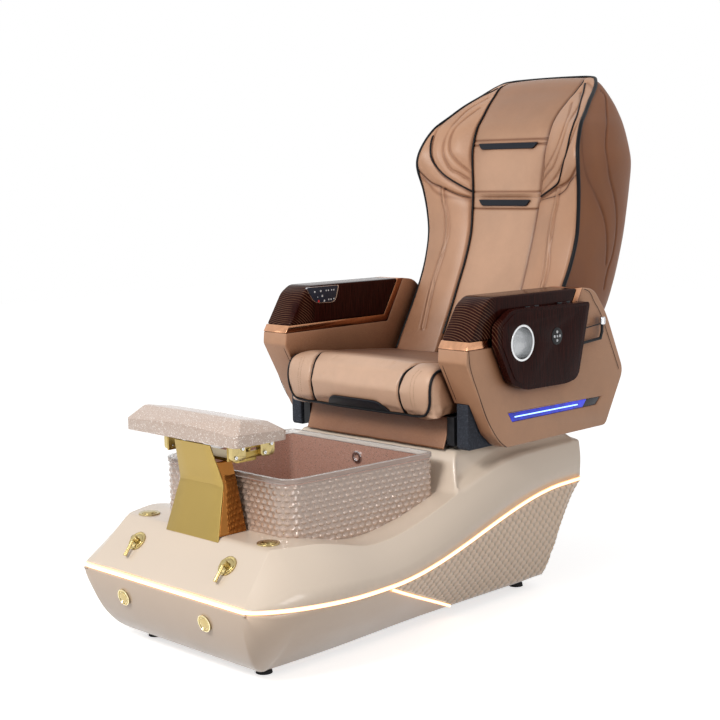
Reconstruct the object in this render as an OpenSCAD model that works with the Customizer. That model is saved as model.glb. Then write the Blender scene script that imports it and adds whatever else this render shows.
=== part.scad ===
// Pedicure spa chair: a glossy moulded base with a foot basin, a sliding massage seat,
// a reclining back, two armrest pods with flip-up trays, and a sliding footrest.
// X runs across the chair (the sitter's left is +X), +Y runs to the rear, +Z is up.

/* [Hull] */
// Distance from the origin forward to the nose of the hull
nose_reach = 821; // [780:1:860]
// Length of the hull from nose to tail
hull_len = 1243; // [1210:1:1300]
// Half width of the flat nose at the light belt
nose_half = 301; // [280:1:320]
// Greatest half width of the hull at the light belt
belt_half = 404; // [395:1:415]
// Distance behind the nose of the greatest width
belt_half_at = 282; // [240:1:330]
// Half width of the tail at the light belt
tail_half = 345; // [335:1:365]
// Height of the light belt at the nose
belt_nose_z = 201; // [195:1:210]
// Lowest height of the light belt, where the side strips branch off
belt_low_z = 190; // [184:1:196]
// Height of the light belt at the tail
belt_tail_z = 312; // [300:1:325]
// Distance behind the nose of the branch point
branch_at = 404; // [380:1:440]
// Length of the level end of the light belt at the tail
belt_level = 93; // [60:1:140]
// Height of the hull's lower edge above the floor
skirt_z = 18; // [15:1:24]
// Half width of the hull at its lower edge
skirt_half = 250; // [240:1:262]
// Distance behind the nose of the lower edge's front
skirt_front = 118; // [104:1:124]
// Distance ahead of the tail of the lower edge's rear
skirt_overhang = 83; // [60:1:100]
// Wall of the hull mouldings
hull_wall = 6; // [5:0.5:8]

/* [Deck] */
// Height of the front deck
deck_z = 320; // [312:1:326]
// Distance behind the nose of the deck's front edge
deck_front = 114; // [105:1:122]
// Half width of the deck's front edge
deck_front_half = 277; // [265:1:290]
// Height of the fender crest at its lowest, beside the basin
crest_low_z = 288; // [280:1:300]
// Height of the fender crest at the tail
crest_tail_z = 424; // [415:1:430]
// Half width of the fender crest
crest_half = 342; // [335:1:348]
// Height of the seat plateau behind the basin
plateau_z = 458; // [452:1:460]
// Half width of the seat plateau
plateau_half = 318; // [310:1:322]

/* [Basin] */
// Distance behind the nose of the basin's front wall
basin_front = 205; // [204:1:214]
// Distance behind the nose of the basin's rear wall
basin_rear = 694; // [680:1:694]
// Half width of the basin at its front
basin_front_half = 241; // [225:1:250]
// Half width of the basin at its rear
basin_rear_half = 274; // [262:1:276]
// Height of the basin's rim
rim_z = 464; // [458:1:465]
// Height of the clear rim band
rim_h = 13; // [10:1:16]
// Wall of the basin
basin_wall = 8; // [6:0.5:10]
// Height of the basin floor's upper face
basin_floor_z = 160; // [150:1:175]
// Radius of the basin's front corners
basin_corner_r = 46; // [30:1:60]

/* [Water] */
// Half spacing of the two tap plates
tap_half = 177; // [170:1:190]
// Radius of a tap plate
tap_plate_r = 20; // [17:1:23]
// Length of a tap lever
tap_lever = 50; // [40:1:56]
// Outer radius of a water inlet tail
inlet_r = 10.5; // [9:0.1:12]
// Outer radius of the drain tail
drain_r = 20; // [18:0.5:22]
// Half spacing of the deck buttons
button_half = 232; // [226:1:236]
// Radius of a deck button's bezel
bezel_r = 28; // [24:1:29]
// Travel of a deck button
button_travel = 4; // [3:0.5:4]
// Half spacing of the nose caps
cap_disc_half = 159; // [150:1:170]
// Radius of a nose cap
cap_disc_r = 16.5; // [14:0.5:19]

/* [Footrest] */
// Half width of the column at the deck
column_foot_half = 100; // [92:1:104]
// Half width of the column at its waist
column_waist_half = 83; // [78:1:86]
// Half width of the column at its top
column_top_half = 72; // [68:1:75]
// Sheet thickness of the column
column_sheet = 4; // [3:0.5:5]
// Half width of the footrest pad
pad_half = 213; // [200:1:220]
// Depth of the footrest pad
pad_depth = 172; // [158:1:182]
// Height of the footrest pad
pad_h = 62; // [54:1:68]
// Height of the pad's underside
pad_z = 556; // [554:1:566]
// Travel of the footrest each way
pad_travel = 20; // [10:1:21]

/* [Seat] */
// Distance behind the nose of the seat cushion's front
seat_front = 672; // [665:1:680]
// Distance behind the nose of the seat cushion's rear
seat_rear = 1130; // [1110:1:1132]
// Half width of the seat cushion
seat_half = 279; // [270:1:284]
// Height of the seat cushion's underside
seat_z = 548; // [546:1:556]
// Height of the seat cushion's front top
seat_front_z = 686; // [676:1:696]
// Height of the seat cushion's rear top
seat_rear_z = 655; // [645:1:660]
// Forward travel of the seat
seat_travel = 100; // [60:1:110]

/* [Arm pods] */
// Distance from the centre to a pod's inner face
pod_in = 290; // [289:1:296]
// Thickness of a pod
pod_w = 97; // [92:1:104]
// Height of a pod's underside
pod_z = 463; // [462:1:470]
// Height of the wooden cap's top
arm_z = 866; // [856:1:876]
// Height of the metal band's lower edge
band_z = 737; // [730:1:745]
// Height of the metal band
band_h = 20; // [16:1:24]

/* [Trays] */
// Gap between a tray and its pod
tray_gap = 7; // [6.5:0.5:10]
// Thickness of a tray
tray_t = 22.5; // [20:0.5:26]
// Radius of the cup well
cup_r = 44; // [38:0.5:45]
// Depth of the cup well from the tray's face
cup_depth = 68; // [60:1:70]
// Angle that a tray flips up through
tray_flip = 90; // [60:5:90]

/* [Back] */
// Height of the backrest's top
back_top_z = 1456; // [1430:1:1470]
// Distance behind the nose of the recline hinge
hinge_at = 1258; // [1250:1:1266]
// Height of the recline hinge
hinge_z = 590; // [586:1:600]
// Radius of the recline hinge pin
hinge_r = 9; // [7:0.5:11]
// Thickness of the back's centre cushion
back_pad_t = 34; // [28:1:38]
// Wall of the back shell
shell_wall = 6; // [5:0.5:8]

/* [Hidden] */
eps = 0.3;          // seat of one piece on another
cut = 1;            // overshoot of a cutting tool
slip = 0.05;        // radial clearance of a running fit
steps = 56;         // facets of a round form

function at(d) = d - nose_reach;                      // distance behind the nose -> y
function mix(a, b, t) = a + (b - a) * t;
function clamp01(t) = min(1, max(0, t));
function ease(t) = let (c = clamp01(t)) c * c * (3 - 2 * c);
function curve(t, p) = sin(90 * pow(clamp01(t), p));

// ---- hull form ----------------------------------------------------------------
function belt_x(d) = d < belt_half_at
    ? mix(nose_half, belt_half, curve(d / belt_half_at, 0.6))
    : mix(belt_half, tail_half, (d - belt_half_at) / (hull_len - belt_half_at));
function belt_z(d) = d < branch_at
    ? mix(belt_nose_z, belt_low_z, ease(d / branch_at))
    : mix(belt_low_z, belt_tail_z, ease((d - branch_at) / (belt_top_at - branch_at)));
function crest_x(d) = d < deck_front
    ? mix(nose_half, deck_front_half, d / deck_front)
    : mix(deck_front_half, crest_half, curve((d - deck_front) / (branch_at - deck_front), 0.8));
function crest_z(d) = d < deck_front
    ? mix(belt_nose_z, deck_z, d / deck_front)
    : d < branch_at
    ? mix(deck_z, crest_low_z, ease((d - basin_front) / (branch_at - basin_front)))
    : mix(crest_low_z, crest_tail_z, ease((d - branch_at) / (crest_top_at - branch_at)));
function riser(d) = ease((d - riser_at) / riser_len);
function tail_drop(d) = ease((d - plateau_end) / (hull_len - plateau_end));
function top_x(d) = mix(crest_x(d) - crest_round, plateau_half, riser(d));
function top_z(d) = mix(mix(crest_z(d), plateau_z, riser(d)), crest_tail_z + 4, tail_drop(d));
function skirt_x(d) = d < skirt_front
    ? mix(nose_half, skirt_half, d / skirt_front)
    : mix(skirt_half, skirt_half + skirt_flare, (d - skirt_front) / (skirt_rear - skirt_front));
function skirt_bottom(d) = d < skirt_front
    ? belt_nose_z - (belt_nose_z - skirt_z)
        * pow(sqrt(1 - pow(1 - clamp01(d / skirt_front), 2)), 1.2)
    : mix(skirt_z + skirt_rise * ease((d - 250) / 450), belt_tail_z - belt_h,
        clamp01((d - skirt_rear) / (hull_len - skirt_rear)));
// a point on the hull's right side below the belt: v runs from the belt to the lower edge
function side_pt(d, v, off) = [
    mix(belt_x(d), skirt_x(d), v) + side_bulge * sin(180 * v) + off,
    at(d),
    mix(belt_z(d) - belt_h / 2 - eps, skirt_bottom(d), v)];

function unit(v) = v / norm(v);
function middle(ring) = [for (k = [0:2]) let (s = [for (p = ring) p[k]]) total(s) / len(s)];
function total(v, i = 0) = i == len(v) ? 0 : v[i] + total(v, i + 1);

skirt_rear = hull_len - skirt_overhang;    // rear end of the lower edge
belt_top_at = hull_len - belt_level;       // where the belt has finished rising
crest_top_at = hull_len - 243;             // where the fender crest has finished rising
crest_round = 12;       // width of the rounded crest
riser_at = 704;         // where the hull rises behind the basin to the plateau
riser_len = 58;         // length of that rise
plateau_end = hull_len - 71;               // rear end of the level plateau
skirt_rise = 9;         // how much higher the lower edge is towards the rear
skirt_flare = 15;       // how much wider the skirt is at the tail
side_bulge = 14;        // bulge of the hull's sides below the belt
belt_h = 10;            // height of the light belt
belt_out = 3;           // how far the light belt stands proud
belt_in = 8;            // how far the light belt reaches into the hull
branch_end = 800;       // where a side strip meets the hull's lower edge

lower_stations = concat([1, 4, 9, 18, 32, 52, 80, skirt_front, 190, 260, 330],
    [each [branch_at:60:skirt_rear - 40]],
    [for (k = [0, 0.36, 0.66]) mix(skirt_rear, hull_len, k)], [hull_len - 2]);
upper_stations = concat([8, 30, 60, 90, deck_front, 150, 205, 270, 340, branch_at, 480, 560, 640],
    [for (k = [0:0.2:1]) riser_at + k * riser_len], [each [820:60:plateau_end - 40]],
    [for (k = [0, 0.33, 0.67, 1]) mix(plateau_end, hull_len, k)]);

// A closed solid through rings of points that run anticlockwise about their own direction
module loft(rings) {
    m = len(rings);
    n = len(rings[0]);
    points = [for (r = rings) each r, middle(rings[0]), middle(rings[m - 1])];
    sides = [for (i = [0:m - 2], j = [0:n - 1]) let (
        k = (j + 1) % n, a = i * n + j, b = i * n + k, c = b + n, e = a + n)
        each [[a, e, c], [a, c, b]]];
    ends = [for (j = [0:n - 1]) let (k = (j + 1) % n)
        each [[m * n, j, k], [m * n + 1, (m - 1) * n + k, (m - 1) * n + j]]];
    polyhedron(points, concat(sides, ends));
}

// A bar of rectangular section along a path, with its outward direction given point by point
module strip(path, outward, proud, sunk, h) {
    n = len(path);
    loft([for (i = [0:n - 1]) let (
        along = unit(path[min(n - 1, i + 1)] - path[max(0, i - 1)]),
        out = unit(outward[i] - along * (outward[i] * along)),
        up = cross(out, along) * h / 2)
        [path[i] + out * proud + up, path[i] + out * proud - up,
         path[i] - out * sunk - up, path[i] - out * sunk + up]]);
}

// An outline whose corners are cut back by a third value and curved
function rounded(v, n = 5) = [for (i = [0:len(v) - 1]) let (
    c = [v[i][0], v[i][1]], r = v[i][2],
    p = v[(i + len(v) - 1) % len(v)], q = v[(i + 1) % len(v)],
    a = c + unit([p[0], p[1]] - c) * r, b = c + unit([q[0], q[1]] - c) * r)
    each (r == 0 ? [c] : [for (k = [0:n]) let (t = k / n)
        (1 - t) * (1 - t) * a + 2 * t * (1 - t) * c + t * t * b])];
// the same outline with its first value measured behind the nose
function placed(v) = [for (p = v) [at(p[0]), p[1], p[2]]];

// A plate of an outline in the YZ plane, from x0 outwards
module slab(x0, w, outline) {
    translate([x0, 0, 0]) rotate([90, 0, 90]) linear_extrude(w) polygon(outline);
}
// A cylinder from one point to another
module rod(p, q, r) {
    v = q - p;
    translate(p) rotate([0, acos(v[2] / norm(v)), atan2(v[1], v[0])])
        cylinder(h = norm(v), r = r, $fn = steps);
}
module both() {
    children();
    mirror([1, 0, 0]) children();
}
module side(s) {
    if (s > 0) children();
    else mirror([1, 0, 0]) children();
}
module block(x, d, z, size) {
    translate([x - size[0] / 2, at(d), z]) cube(size);
}

// ---- hull ----------------------------------------------------------------------
function lower_ring(d, shape_d, t, z_over) = let (
    right = [for (v = [0:0.25:1]) let (p = side_pt(shape_d, v, -t))
        [p[0], at(d), p[2]]],
    low = shape_d < skirt_front || shape_d > skirt_rear ? right[4][2] + t : right[4][2] - z_over,
    r = [[0, at(d), right[0][2] + z_over], [right[0][0], at(d), right[0][2] + z_over],
        each [for (i = [1:3]) right[i]],
        [right[4][0], at(d), low], [0, at(d), low]])
    concat(r, [for (i = [5:-1:1]) [-r[i][0], r[i][1], r[i][2]]]);

module lower_hull() {
    inner = concat([hull_wall + 2, 24, 50, 80, skirt_front + hull_wall - 1, skirt_front + hull_wall],
        [each [200:100:skirt_rear - 40]], [skirt_rear - hull_wall - 2, skirt_rear - hull_wall,
        mix(skirt_rear, hull_len, 0.36), hull_len - 28]);
    color([0.87, 0.82, 0.76]) difference() {
        loft([for (d = lower_stations) lower_ring(d, d, 0, 0)]);
        loft([for (d = inner) lower_ring(d, d < branch_at ? d - hull_wall : d + hull_wall,
            hull_wall, 20)]);
        belt_strip(belt_out + 9, belt_in + eps, belt_h + 2 * eps);
        branch_strip(12, 0.9, belt_h - 2 + 3 * eps, 0.02);
        panel_body(0.9 - eps, panel_t + 12, 0.004);
        both() nose_cap_frame() translate([0, 0, -30]) cylinder(h = 60, r = cap_plug_r + slip, $fn = steps);
    }
}

// the ring's form is taken a little further forward than its place, by lag
function upper_ring(place, t, drop, lag) = let (
    d = place - lag,
    cx = crest_x(d) - t, cz = crest_z(d) - t, tx = top_x(d) - t, tz = top_z(d) - t,
    bx = belt_x(d) - t, bz = belt_z(d) + belt_h / 2 + eps - drop, y = at(place),
    knee = [mix(cx, tx, 0.5) + (tz > cz + 20 ? -4 : 3), y, mix(cz, tz, 0.5)],
    brow = [mix(cx, bx, 0.5) + 5, y, mix(cz, bz, 0.45)],
    r = [[0, y, tz], [tx, y, tz], knee, [cx, y, cz - 1], brow, [bx, y, bz], [0, y, bz]])
    concat(r, [for (i = [5:-1:1]) [-r[i][0], r[i][1], r[i][2]]]);

module upper_hull() {
    color([0.89, 0.85, 0.79]) difference() {
        union() {
            loft([for (d = upper_stations) upper_ring(d, 0, 0, 0)]);
            block(0, hull_len - 14, belt_tail_z - belt_h / 2, [2 * (tail_half - 16), 12, 30]);
        }
        loft([for (d = concat([24, 60, deck_front, 205, 270, 340, branch_at, 480, 560, 640],
            [for (k = [0:0.2:1]) riser_at + hull_wall + 2 + k * riser_len],
            [each [900:100:plateau_end - 40]], [plateau_end, hull_len - 14 - eps]))
            upper_ring(d, hull_wall, 30, d > riser_at ? hull_wall + 2 : 0)]);
        belt_strip(belt_out + 9, belt_in + eps, belt_h + 2 * eps);
        translate([0, 0, crest_low_z - 60]) linear_extrude(300) polygon(basin_plan(eps));
        translate([0, 0, rim_z - rim_h - 6]) linear_extrude(60) polygon(basin_plan(rim_lip + 1));
        both() tap_frame() translate([0, 0, -40]) cylinder(h = 60, r = valve_neck_r + slip, $fn = steps);
        both() button_frame() translate([0, 0, -40]) cylinder(h = 60, r = bezel_neck_r + slip, $fn = steps);
    }
}

belt_d = concat([hull_len - 3],
    [for (k = [0.925, 0.82, 0.71, 0.567, 0.424, 0.281, 0.138]) mix(branch_at, hull_len, k)],
    [branch_at, 282, 200, 139, 100, 72, 50, 37, 26, 16, 9, 4, 1.5]);
belt_right = [for (d = belt_d) [belt_x(d), at(d), belt_z(d)]];
belt_left = [for (p = belt_right) [-p[0], p[1], p[2]]];
belt_path = concat(belt_left, [for (x = [-nose_half + 12, 0, nose_half - 12]) [x, at(0), belt_nose_z]],
    [for (i = [len(belt_right) - 1:-1:0]) belt_right[i]]);

module belt_strip(proud, sunk, h) {
    n = len(belt_path);
    strip(belt_path, [for (i = [0:n - 1]) let (
        along = belt_path[min(n - 1, i + 1)] - belt_path[max(0, i - 1)]) [along[1], -along[0], 0]],
        proud, sunk, h);
}
module belt_light() {
    color([1.0, 0.93, 0.80]) belt_strip(belt_out, belt_in, belt_h);
}

function branch_pt(v) = side_pt(mix(branch_at + 16, branch_end, v), mix(0.09, 0.98, v), 0);
// a body along each side strip's line; spare adds room at its ends
module branch_strip(proud, sunk, h, spare) {
    path = [for (v = concat(spare > 0 ? [-spare] : [], [each [0:0.125:1]], spare > 0 ? [1 + spare] : []))
        branch_pt(v)];
    both() strip(path, [for (p = path) [1, 0, 0]], proud, sunk, h);
}
module branch_lights() {
    color([1.0, 0.93, 0.80]) branch_strip(3.6, 0.9 - eps, belt_h - 2, 0);
}

panel_t = 6;      // thickness of a scale panel
panel_gap = 13;   // room for the side strip ahead of a panel
// the body of both scale panels between two distances from the hull, widened by spare
module panel_body(inner, outer, spare) {
    both() loft([for (s = concat([-spare], [each [0.0625:0.0625:0.9375]], [1 + spare])) let (
        rows = [for (v = [0:0.125:1]) [mix(mix(branch_at + 26, branch_end + panel_gap, v),
            hull_len - 6, s), mix(0.01 - spare, 0.98 + spare, v)]])
        concat([for (q = rows) side_pt(q[0], q[1], outer)],
            [for (i = [len(rows) - 1:-1:0]) side_pt(rows[i][0], rows[i][1], inner)])]);
}
module scale_panels() {
    color([0.76, 0.66, 0.56]) panel_body(0.9, panel_t, 0);
}

foot_at = [142, skirt_rear - 50];         // distances of the feet behind the nose
frame_z = 24;                  // underside of the base frame
frame_h = 36;                  // height of the base frame's tubes
frame_w = 30;                  // width of the base frame's tubes
frame_x = skirt_half - hull_wall - frame_w / 2 - 17;
module levelling_feet() {
    color([0.08, 0.08, 0.09]) both() for (d = foot_at) translate([frame_x, at(d), 0]) {
        cylinder(h = 9, r1 = 21, r2 = 19, $fn = steps);
        cylinder(h = frame_z - eps, r = 6, $fn = steps);
    }
}
module base_frame() {
    color([0.25, 0.26, 0.28]) {
        both() block(frame_x, skirt_front + 8, frame_z,
            [frame_w, skirt_rear - skirt_front - 34, frame_h]);
        for (d = [basin_front + 40, basin_rear - 70, skirt_rear - 70])
            block(0, d, frame_z, [2 * frame_x - frame_w - 2 * eps, frame_w, frame_h]);
        both() for (d = [basin_front + 40, basin_rear - 70])
            block(frame_x - 40, d, frame_z + frame_h + eps,
                [frame_w, frame_w, basin_floor_z - basin_base - frame_z - frame_h - 2 * eps]);
        both() for (d = [780, skirt_rear - 70])
            block(frame_x - 10, d, frame_z + frame_h + eps,
                [frame_w, frame_w, plateau_z - hull_wall - frame_z - frame_h - 2 * eps - 1]);
    }
}

// ---- basin ---------------------------------------------------------------------
basin_base = 10;      // thickness of the basin floor
basin_rear_r = 20;    // radius of the basin's rear corners
rim_lip = 4;          // how far the rim stands out beyond the basin's wall
basin_lean = atan((basin_rear_half - basin_front_half) / (basin_rear - basin_front));
function basin_line(d) = mix(basin_front_half, basin_rear_half, (d - basin_front) / (basin_rear - basin_front));
function corner(d, r, a0, a1, o) = let (c = [basin_line(d) - r / cos(basin_lean), at(d)])
    [for (k = [0:7]) let (a = mix(a0, a1, k / 7)) c + (r + o) * [cos(a), sin(a)]];
function basin_plan(o) = let (
    right = concat(
        corner(basin_front + basin_corner_r, basin_corner_r, -90, -basin_lean, o),
        corner(basin_rear - basin_rear_r, basin_rear_r, -basin_lean, 90, o)))
    concat(right, [for (i = [len(right) - 1:-1:0]) [-right[i][0], right[i][1]]]);

drain_at = 470;        // distance of the drain behind the nose
drain_hole_r = 18;
overflow_z = 416;
overflow_r = 17;
overflow_neck_r = 12;
jet_z = 262;
jet_hole_r = 14;
module basin() {
    color([0.70, 0.58, 0.53]) difference() {
        translate([0, 0, basin_floor_z - basin_base])
            linear_extrude(rim_z - rim_h - eps - basin_floor_z + basin_base) polygon(basin_plan(0));
        translate([0, 0, basin_floor_z]) linear_extrude(rim_z) polygon(basin_plan(-basin_wall));
        translate([0, at(drain_at), 0]) cylinder(h = rim_z, r = drain_hole_r, $fn = steps);
        translate([0, at(basin_rear) + cut, overflow_z]) rotate([90, 0, 0])
            cylinder(h = basin_wall + 2 * cut, r = overflow_neck_r + slip, $fn = steps);
        translate([0, at(basin_front) - cut, jet_z]) rotate([-90, 0, 0])
            cylinder(h = basin_wall + 2 * cut, r = jet_hole_r, $fn = steps);
    }
}
module basin_rim() {
    color([0.90, 0.92, 0.92, 0.5]) translate([0, 0, rim_z - rim_h]) difference() {
        linear_extrude(rim_h) polygon(basin_plan(rim_lip));
        translate([0, 0, -cut]) linear_extrude(rim_h + 2 * cut) polygon(basin_plan(-basin_wall));
    }
}
module overflow_ring() {
    color([0.82, 0.83, 0.85]) translate([0, at(basin_rear) - basin_wall - eps, overflow_z])
        rotate([90, 0, 0]) difference() {
            union() {
                cylinder(h = 4, r = overflow_r, $fn = steps);
                translate([0, 0, -basin_wall]) cylinder(h = basin_wall + cut, r = overflow_neck_r, $fn = steps);
            }
            translate([0, 0, -basin_wall - cut]) cylinder(h = 20, r = overflow_neck_r - 3, $fn = steps);
        }
}
strainer_r = 36;
module drain_strainer() {
    color([0.80, 0.80, 0.82]) translate([0, at(drain_at), basin_floor_z + eps]) difference() {
        union() {
            cylinder(h = 3, r = strainer_r, $fn = steps);
            translate([0, 0, -basin_base]) cylinder(h = basin_base + cut, r = drain_hole_r - 0.5, $fn = steps);
        }
        for (a = [0:45:315]) rotate([0, 0, a]) translate([10, 0, -basin_base - cut])
            cylinder(h = basin_base + 6, r = 3, $fn = 24);
    }
}
drain_end_z = 74;
module drain_tail() {
    top = basin_floor_z - basin_base - eps;
    color([0.30, 0.31, 0.33]) translate([0, at(drain_at), 0]) difference() {
        union() {
            translate([0, 0, top - 7]) cylinder(h = 7, r = strainer_r - 2, $fn = steps);
            translate([0, 0, drain_end_z]) cylinder(h = top - drain_end_z, r = drain_r, $fn = steps);
        }
        translate([0, 0, drain_end_z - cut]) cylinder(h = top, r = drain_r - 3, $fn = steps);
    }
}

jet_shaft_r = 5;
jet_motor_r = 44;
jet_motor_len = 62;
jet_cover_r = 46;
jet_cover_h = 24;
module jet_motor() {
    color([0.16, 0.17, 0.19]) translate([0, at(basin_front) - eps, jet_z]) rotate([90, 0, 0])
        difference() {
            cylinder(h = jet_motor_len, r = jet_motor_r, $fn = steps);
            translate([0, 0, -cut]) cylinder(h = 40, r = jet_shaft_r + slip, $fn = steps);
        }
}
module jet_impeller() {
    face = at(basin_front) + basin_wall;
    color([0.85, 0.86, 0.88]) {
        translate([0, face + 14, jet_z]) rotate([90, 0, 0])
            cylinder(h = 14 + basin_wall + 30, r = jet_shaft_r, $fn = steps);
        translate([0, face + 14, jet_z]) rotate([90, 0, 0]) cylinder(h = 3, r = 34, $fn = steps);
        for (a = [0:60:300]) translate([0, face + 11, jet_z]) rotate([90, a, 0])
            translate([8, -1.5, 0]) cube([24, 3, 7]);
    }
}
module jet_cover() {
    color([0.78, 0.70, 0.55]) translate([0, at(basin_front) + basin_wall + eps, jet_z]) rotate([-90, 0, 0])
        difference() {
            cylinder(h = jet_cover_h, r = jet_cover_r, $fn = steps);
            translate([0, 0, -cut]) cylinder(h = jet_cover_h - 3 + cut, r = jet_cover_r - 4, $fn = steps);
            for (r = [14, 28], a = [0:30:330]) rotate([0, 0, a + r]) translate([r, 0, 0])
                cylinder(h = jet_cover_h + cut, r = 2.5, $fn = 24);
        }
}

// ---- taps, buttons and caps ------------------------------------------------------
slope = atan2(deck_z - belt_nose_z, deck_front);
tap_at = 68;             // distance of a tap behind the nose
tap_plate_t = 4;
tap_stem_r = 5;
valve_neck_r = 11;
valve_r = 17;
valve_len = 44;
inlet_len = 106;          // free length of an inlet tail
inlet_end_z = 90;
inlet_at = skirt_front + hull_wall + 30;   // distance of an inlet tail behind the nose
module tap_frame() {
    translate([tap_half, at(tap_at), mix(belt_nose_z, deck_z, tap_at / deck_front)])
        rotate([slope, 0, 0]) children();
}
module tap_plates() {
    color([0.72, 0.62, 0.35]) both() tap_frame() translate([0, 0, eps]) difference() {
        cylinder(h = tap_plate_t, r = tap_plate_r, $fn = steps);
        translate([0, 0, -cut]) cylinder(h = tap_plate_t + 2 * cut, r = tap_stem_r + slip, $fn = steps);
        translate([0, 0, tap_plate_t - 1]) difference() {
            cylinder(h = 2, r = tap_plate_r - 3, $fn = steps);
            translate([0, 0, -cut]) cylinder(h = 4, r = tap_plate_r - 6, $fn = steps);
        }
    }
}
module water_valves() {
    color([0.75, 0.62, 0.30]) both() {
        difference() {
            union() {
                tap_frame() {
                    translate([0, 0, -hull_wall - 14 - valve_len]) cylinder(h = valve_len, r = valve_r, $fn = steps);
                    translate([0, 0, -hull_wall - 15]) cylinder(h = hull_wall + 15 - eps, r = valve_neck_r, $fn = steps);
                }
                translate([tap_half, at(inlet_at), inlet_end_z])
                    cylinder(h = inlet_len + 42, r = inlet_r, $fn = steps);
                translate([tap_half, at(inlet_at), inlet_end_z + inlet_len])
                    cylinder(h = 30, r = inlet_r + 4, $fn = steps);
                translate([tap_half, at(inlet_at), inlet_end_z + inlet_len + 42]) rotate([90, 0, 0])
                    cylinder(h = inlet_at - tap_at - 32, r = inlet_r - 1, $fn = steps);
                translate([tap_half, at(inlet_at), inlet_end_z + inlet_len + 42])
                    sphere(r = inlet_r + 0.5, $fn = steps);
            }
            tap_frame() translate([0, 0, -hull_wall - 26]) cylinder(h = 40, r = tap_stem_r + slip, $fn = steps);
            tap_frame() translate([-40, -60, -hull_wall - 14]) difference() {
                cube([80, 120, 60]);
                translate([40, 60, -cut]) cylinder(h = 80, r = valve_neck_r, $fn = steps);
            }
        }
    }
}
module tap_lever(s) {
    color([0.80, 0.70, 0.42]) side(s) tap_frame() {
        translate([0, 0, -hull_wall - 24]) cylinder(h = hull_wall + 40, r = tap_stem_r, $fn = steps);
        translate([0, 0, tap_plate_t + 2 * eps]) cylinder(h = 15, r = 8, $fn = steps);
        translate([0, 0, tap_plate_t + 12]) rotate([97, 0, 0]) cylinder(h = tap_lever, r1 = 3.5, r2 = 5, $fn = steps);
    }
}
module tap_lever_left() { tap_lever(1); }
module tap_lever_right() { tap_lever(-1); }

button_at = 149;         // distance of a deck button behind the nose
bezel_neck_r = 23;
button_r = 19;
module button_frame() {
    translate([button_half, at(button_at), deck_z]) children();
}
module button_bezels() {
    color([0.78, 0.68, 0.40]) both() button_frame() difference() {
        union() {
            translate([0, 0, eps]) cylinder(h = 3, r = bezel_r, $fn = steps);
            translate([0, 0, -26]) cylinder(h = 27, r = bezel_neck_r, $fn = steps);
        }
        translate([0, 0, -22]) cylinder(h = 40, r = button_r + slip, $fn = steps);
    }
}
module deck_button(s) {
    color([0.85, 0.76, 0.48]) side(s) button_frame() {
        translate([0, 0, button_travel - 21]) cylinder(h = 21 + 2 * eps, r = button_r, $fn = steps);
        translate([0, 0, button_travel]) cylinder(h = 3, r1 = button_r - 1, r2 = button_r - 5, $fn = steps);
    }
}
module deck_button_left() { deck_button(1); }
module deck_button_right() { deck_button(-1); }

cap_z = 144;
cap_lean = 12;
cap_plug_r = 13;
function nose_at(z) = skirt_front * (1 - sqrt(1 - pow((belt_nose_z - z) / (belt_nose_z - skirt_z), 1 / 0.6)));
module nose_cap_frame() {
    translate([cap_disc_half, at(nose_at(cap_z)), cap_z]) rotate([90 + cap_lean, 0, 0]) children();
}
module nose_caps() {
    color([0.80, 0.70, 0.42]) both() nose_cap_frame() {
        translate([0, 0, 1.2]) cylinder(h = 3, r = cap_disc_r, $fn = steps);
        translate([0, 0, -12]) cylinder(h = 14, r = cap_plug_r, $fn = steps);
    }
}

// ---- footrest --------------------------------------------------------------------
column_front = 102;       // distance of the column's foot behind the nose
column_waist_at = 138;
column_waist_z = 440;
column_top_at = 126;
column_rear = 196;        // rear edge of the column's foot
head_z = 498;             // underside of the column's head plate
head_h = 8;
head_half = 109;
head_at = [120, 232];
bar_x = 113;              // inner face of a slotted bar
bar_t = 6;
bar_h = 36;
bar_at = [129, 267];
slot_r = 4;
slot_z = 20;              // height of the slot above the bar's lower edge
guide_at = mix(bar_at[0], bar_at[1], 0.5);
block_w = 45;
block_t = 12;
screw_r = 2.5;
bar_z = head_z + head_h + eps;

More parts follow.
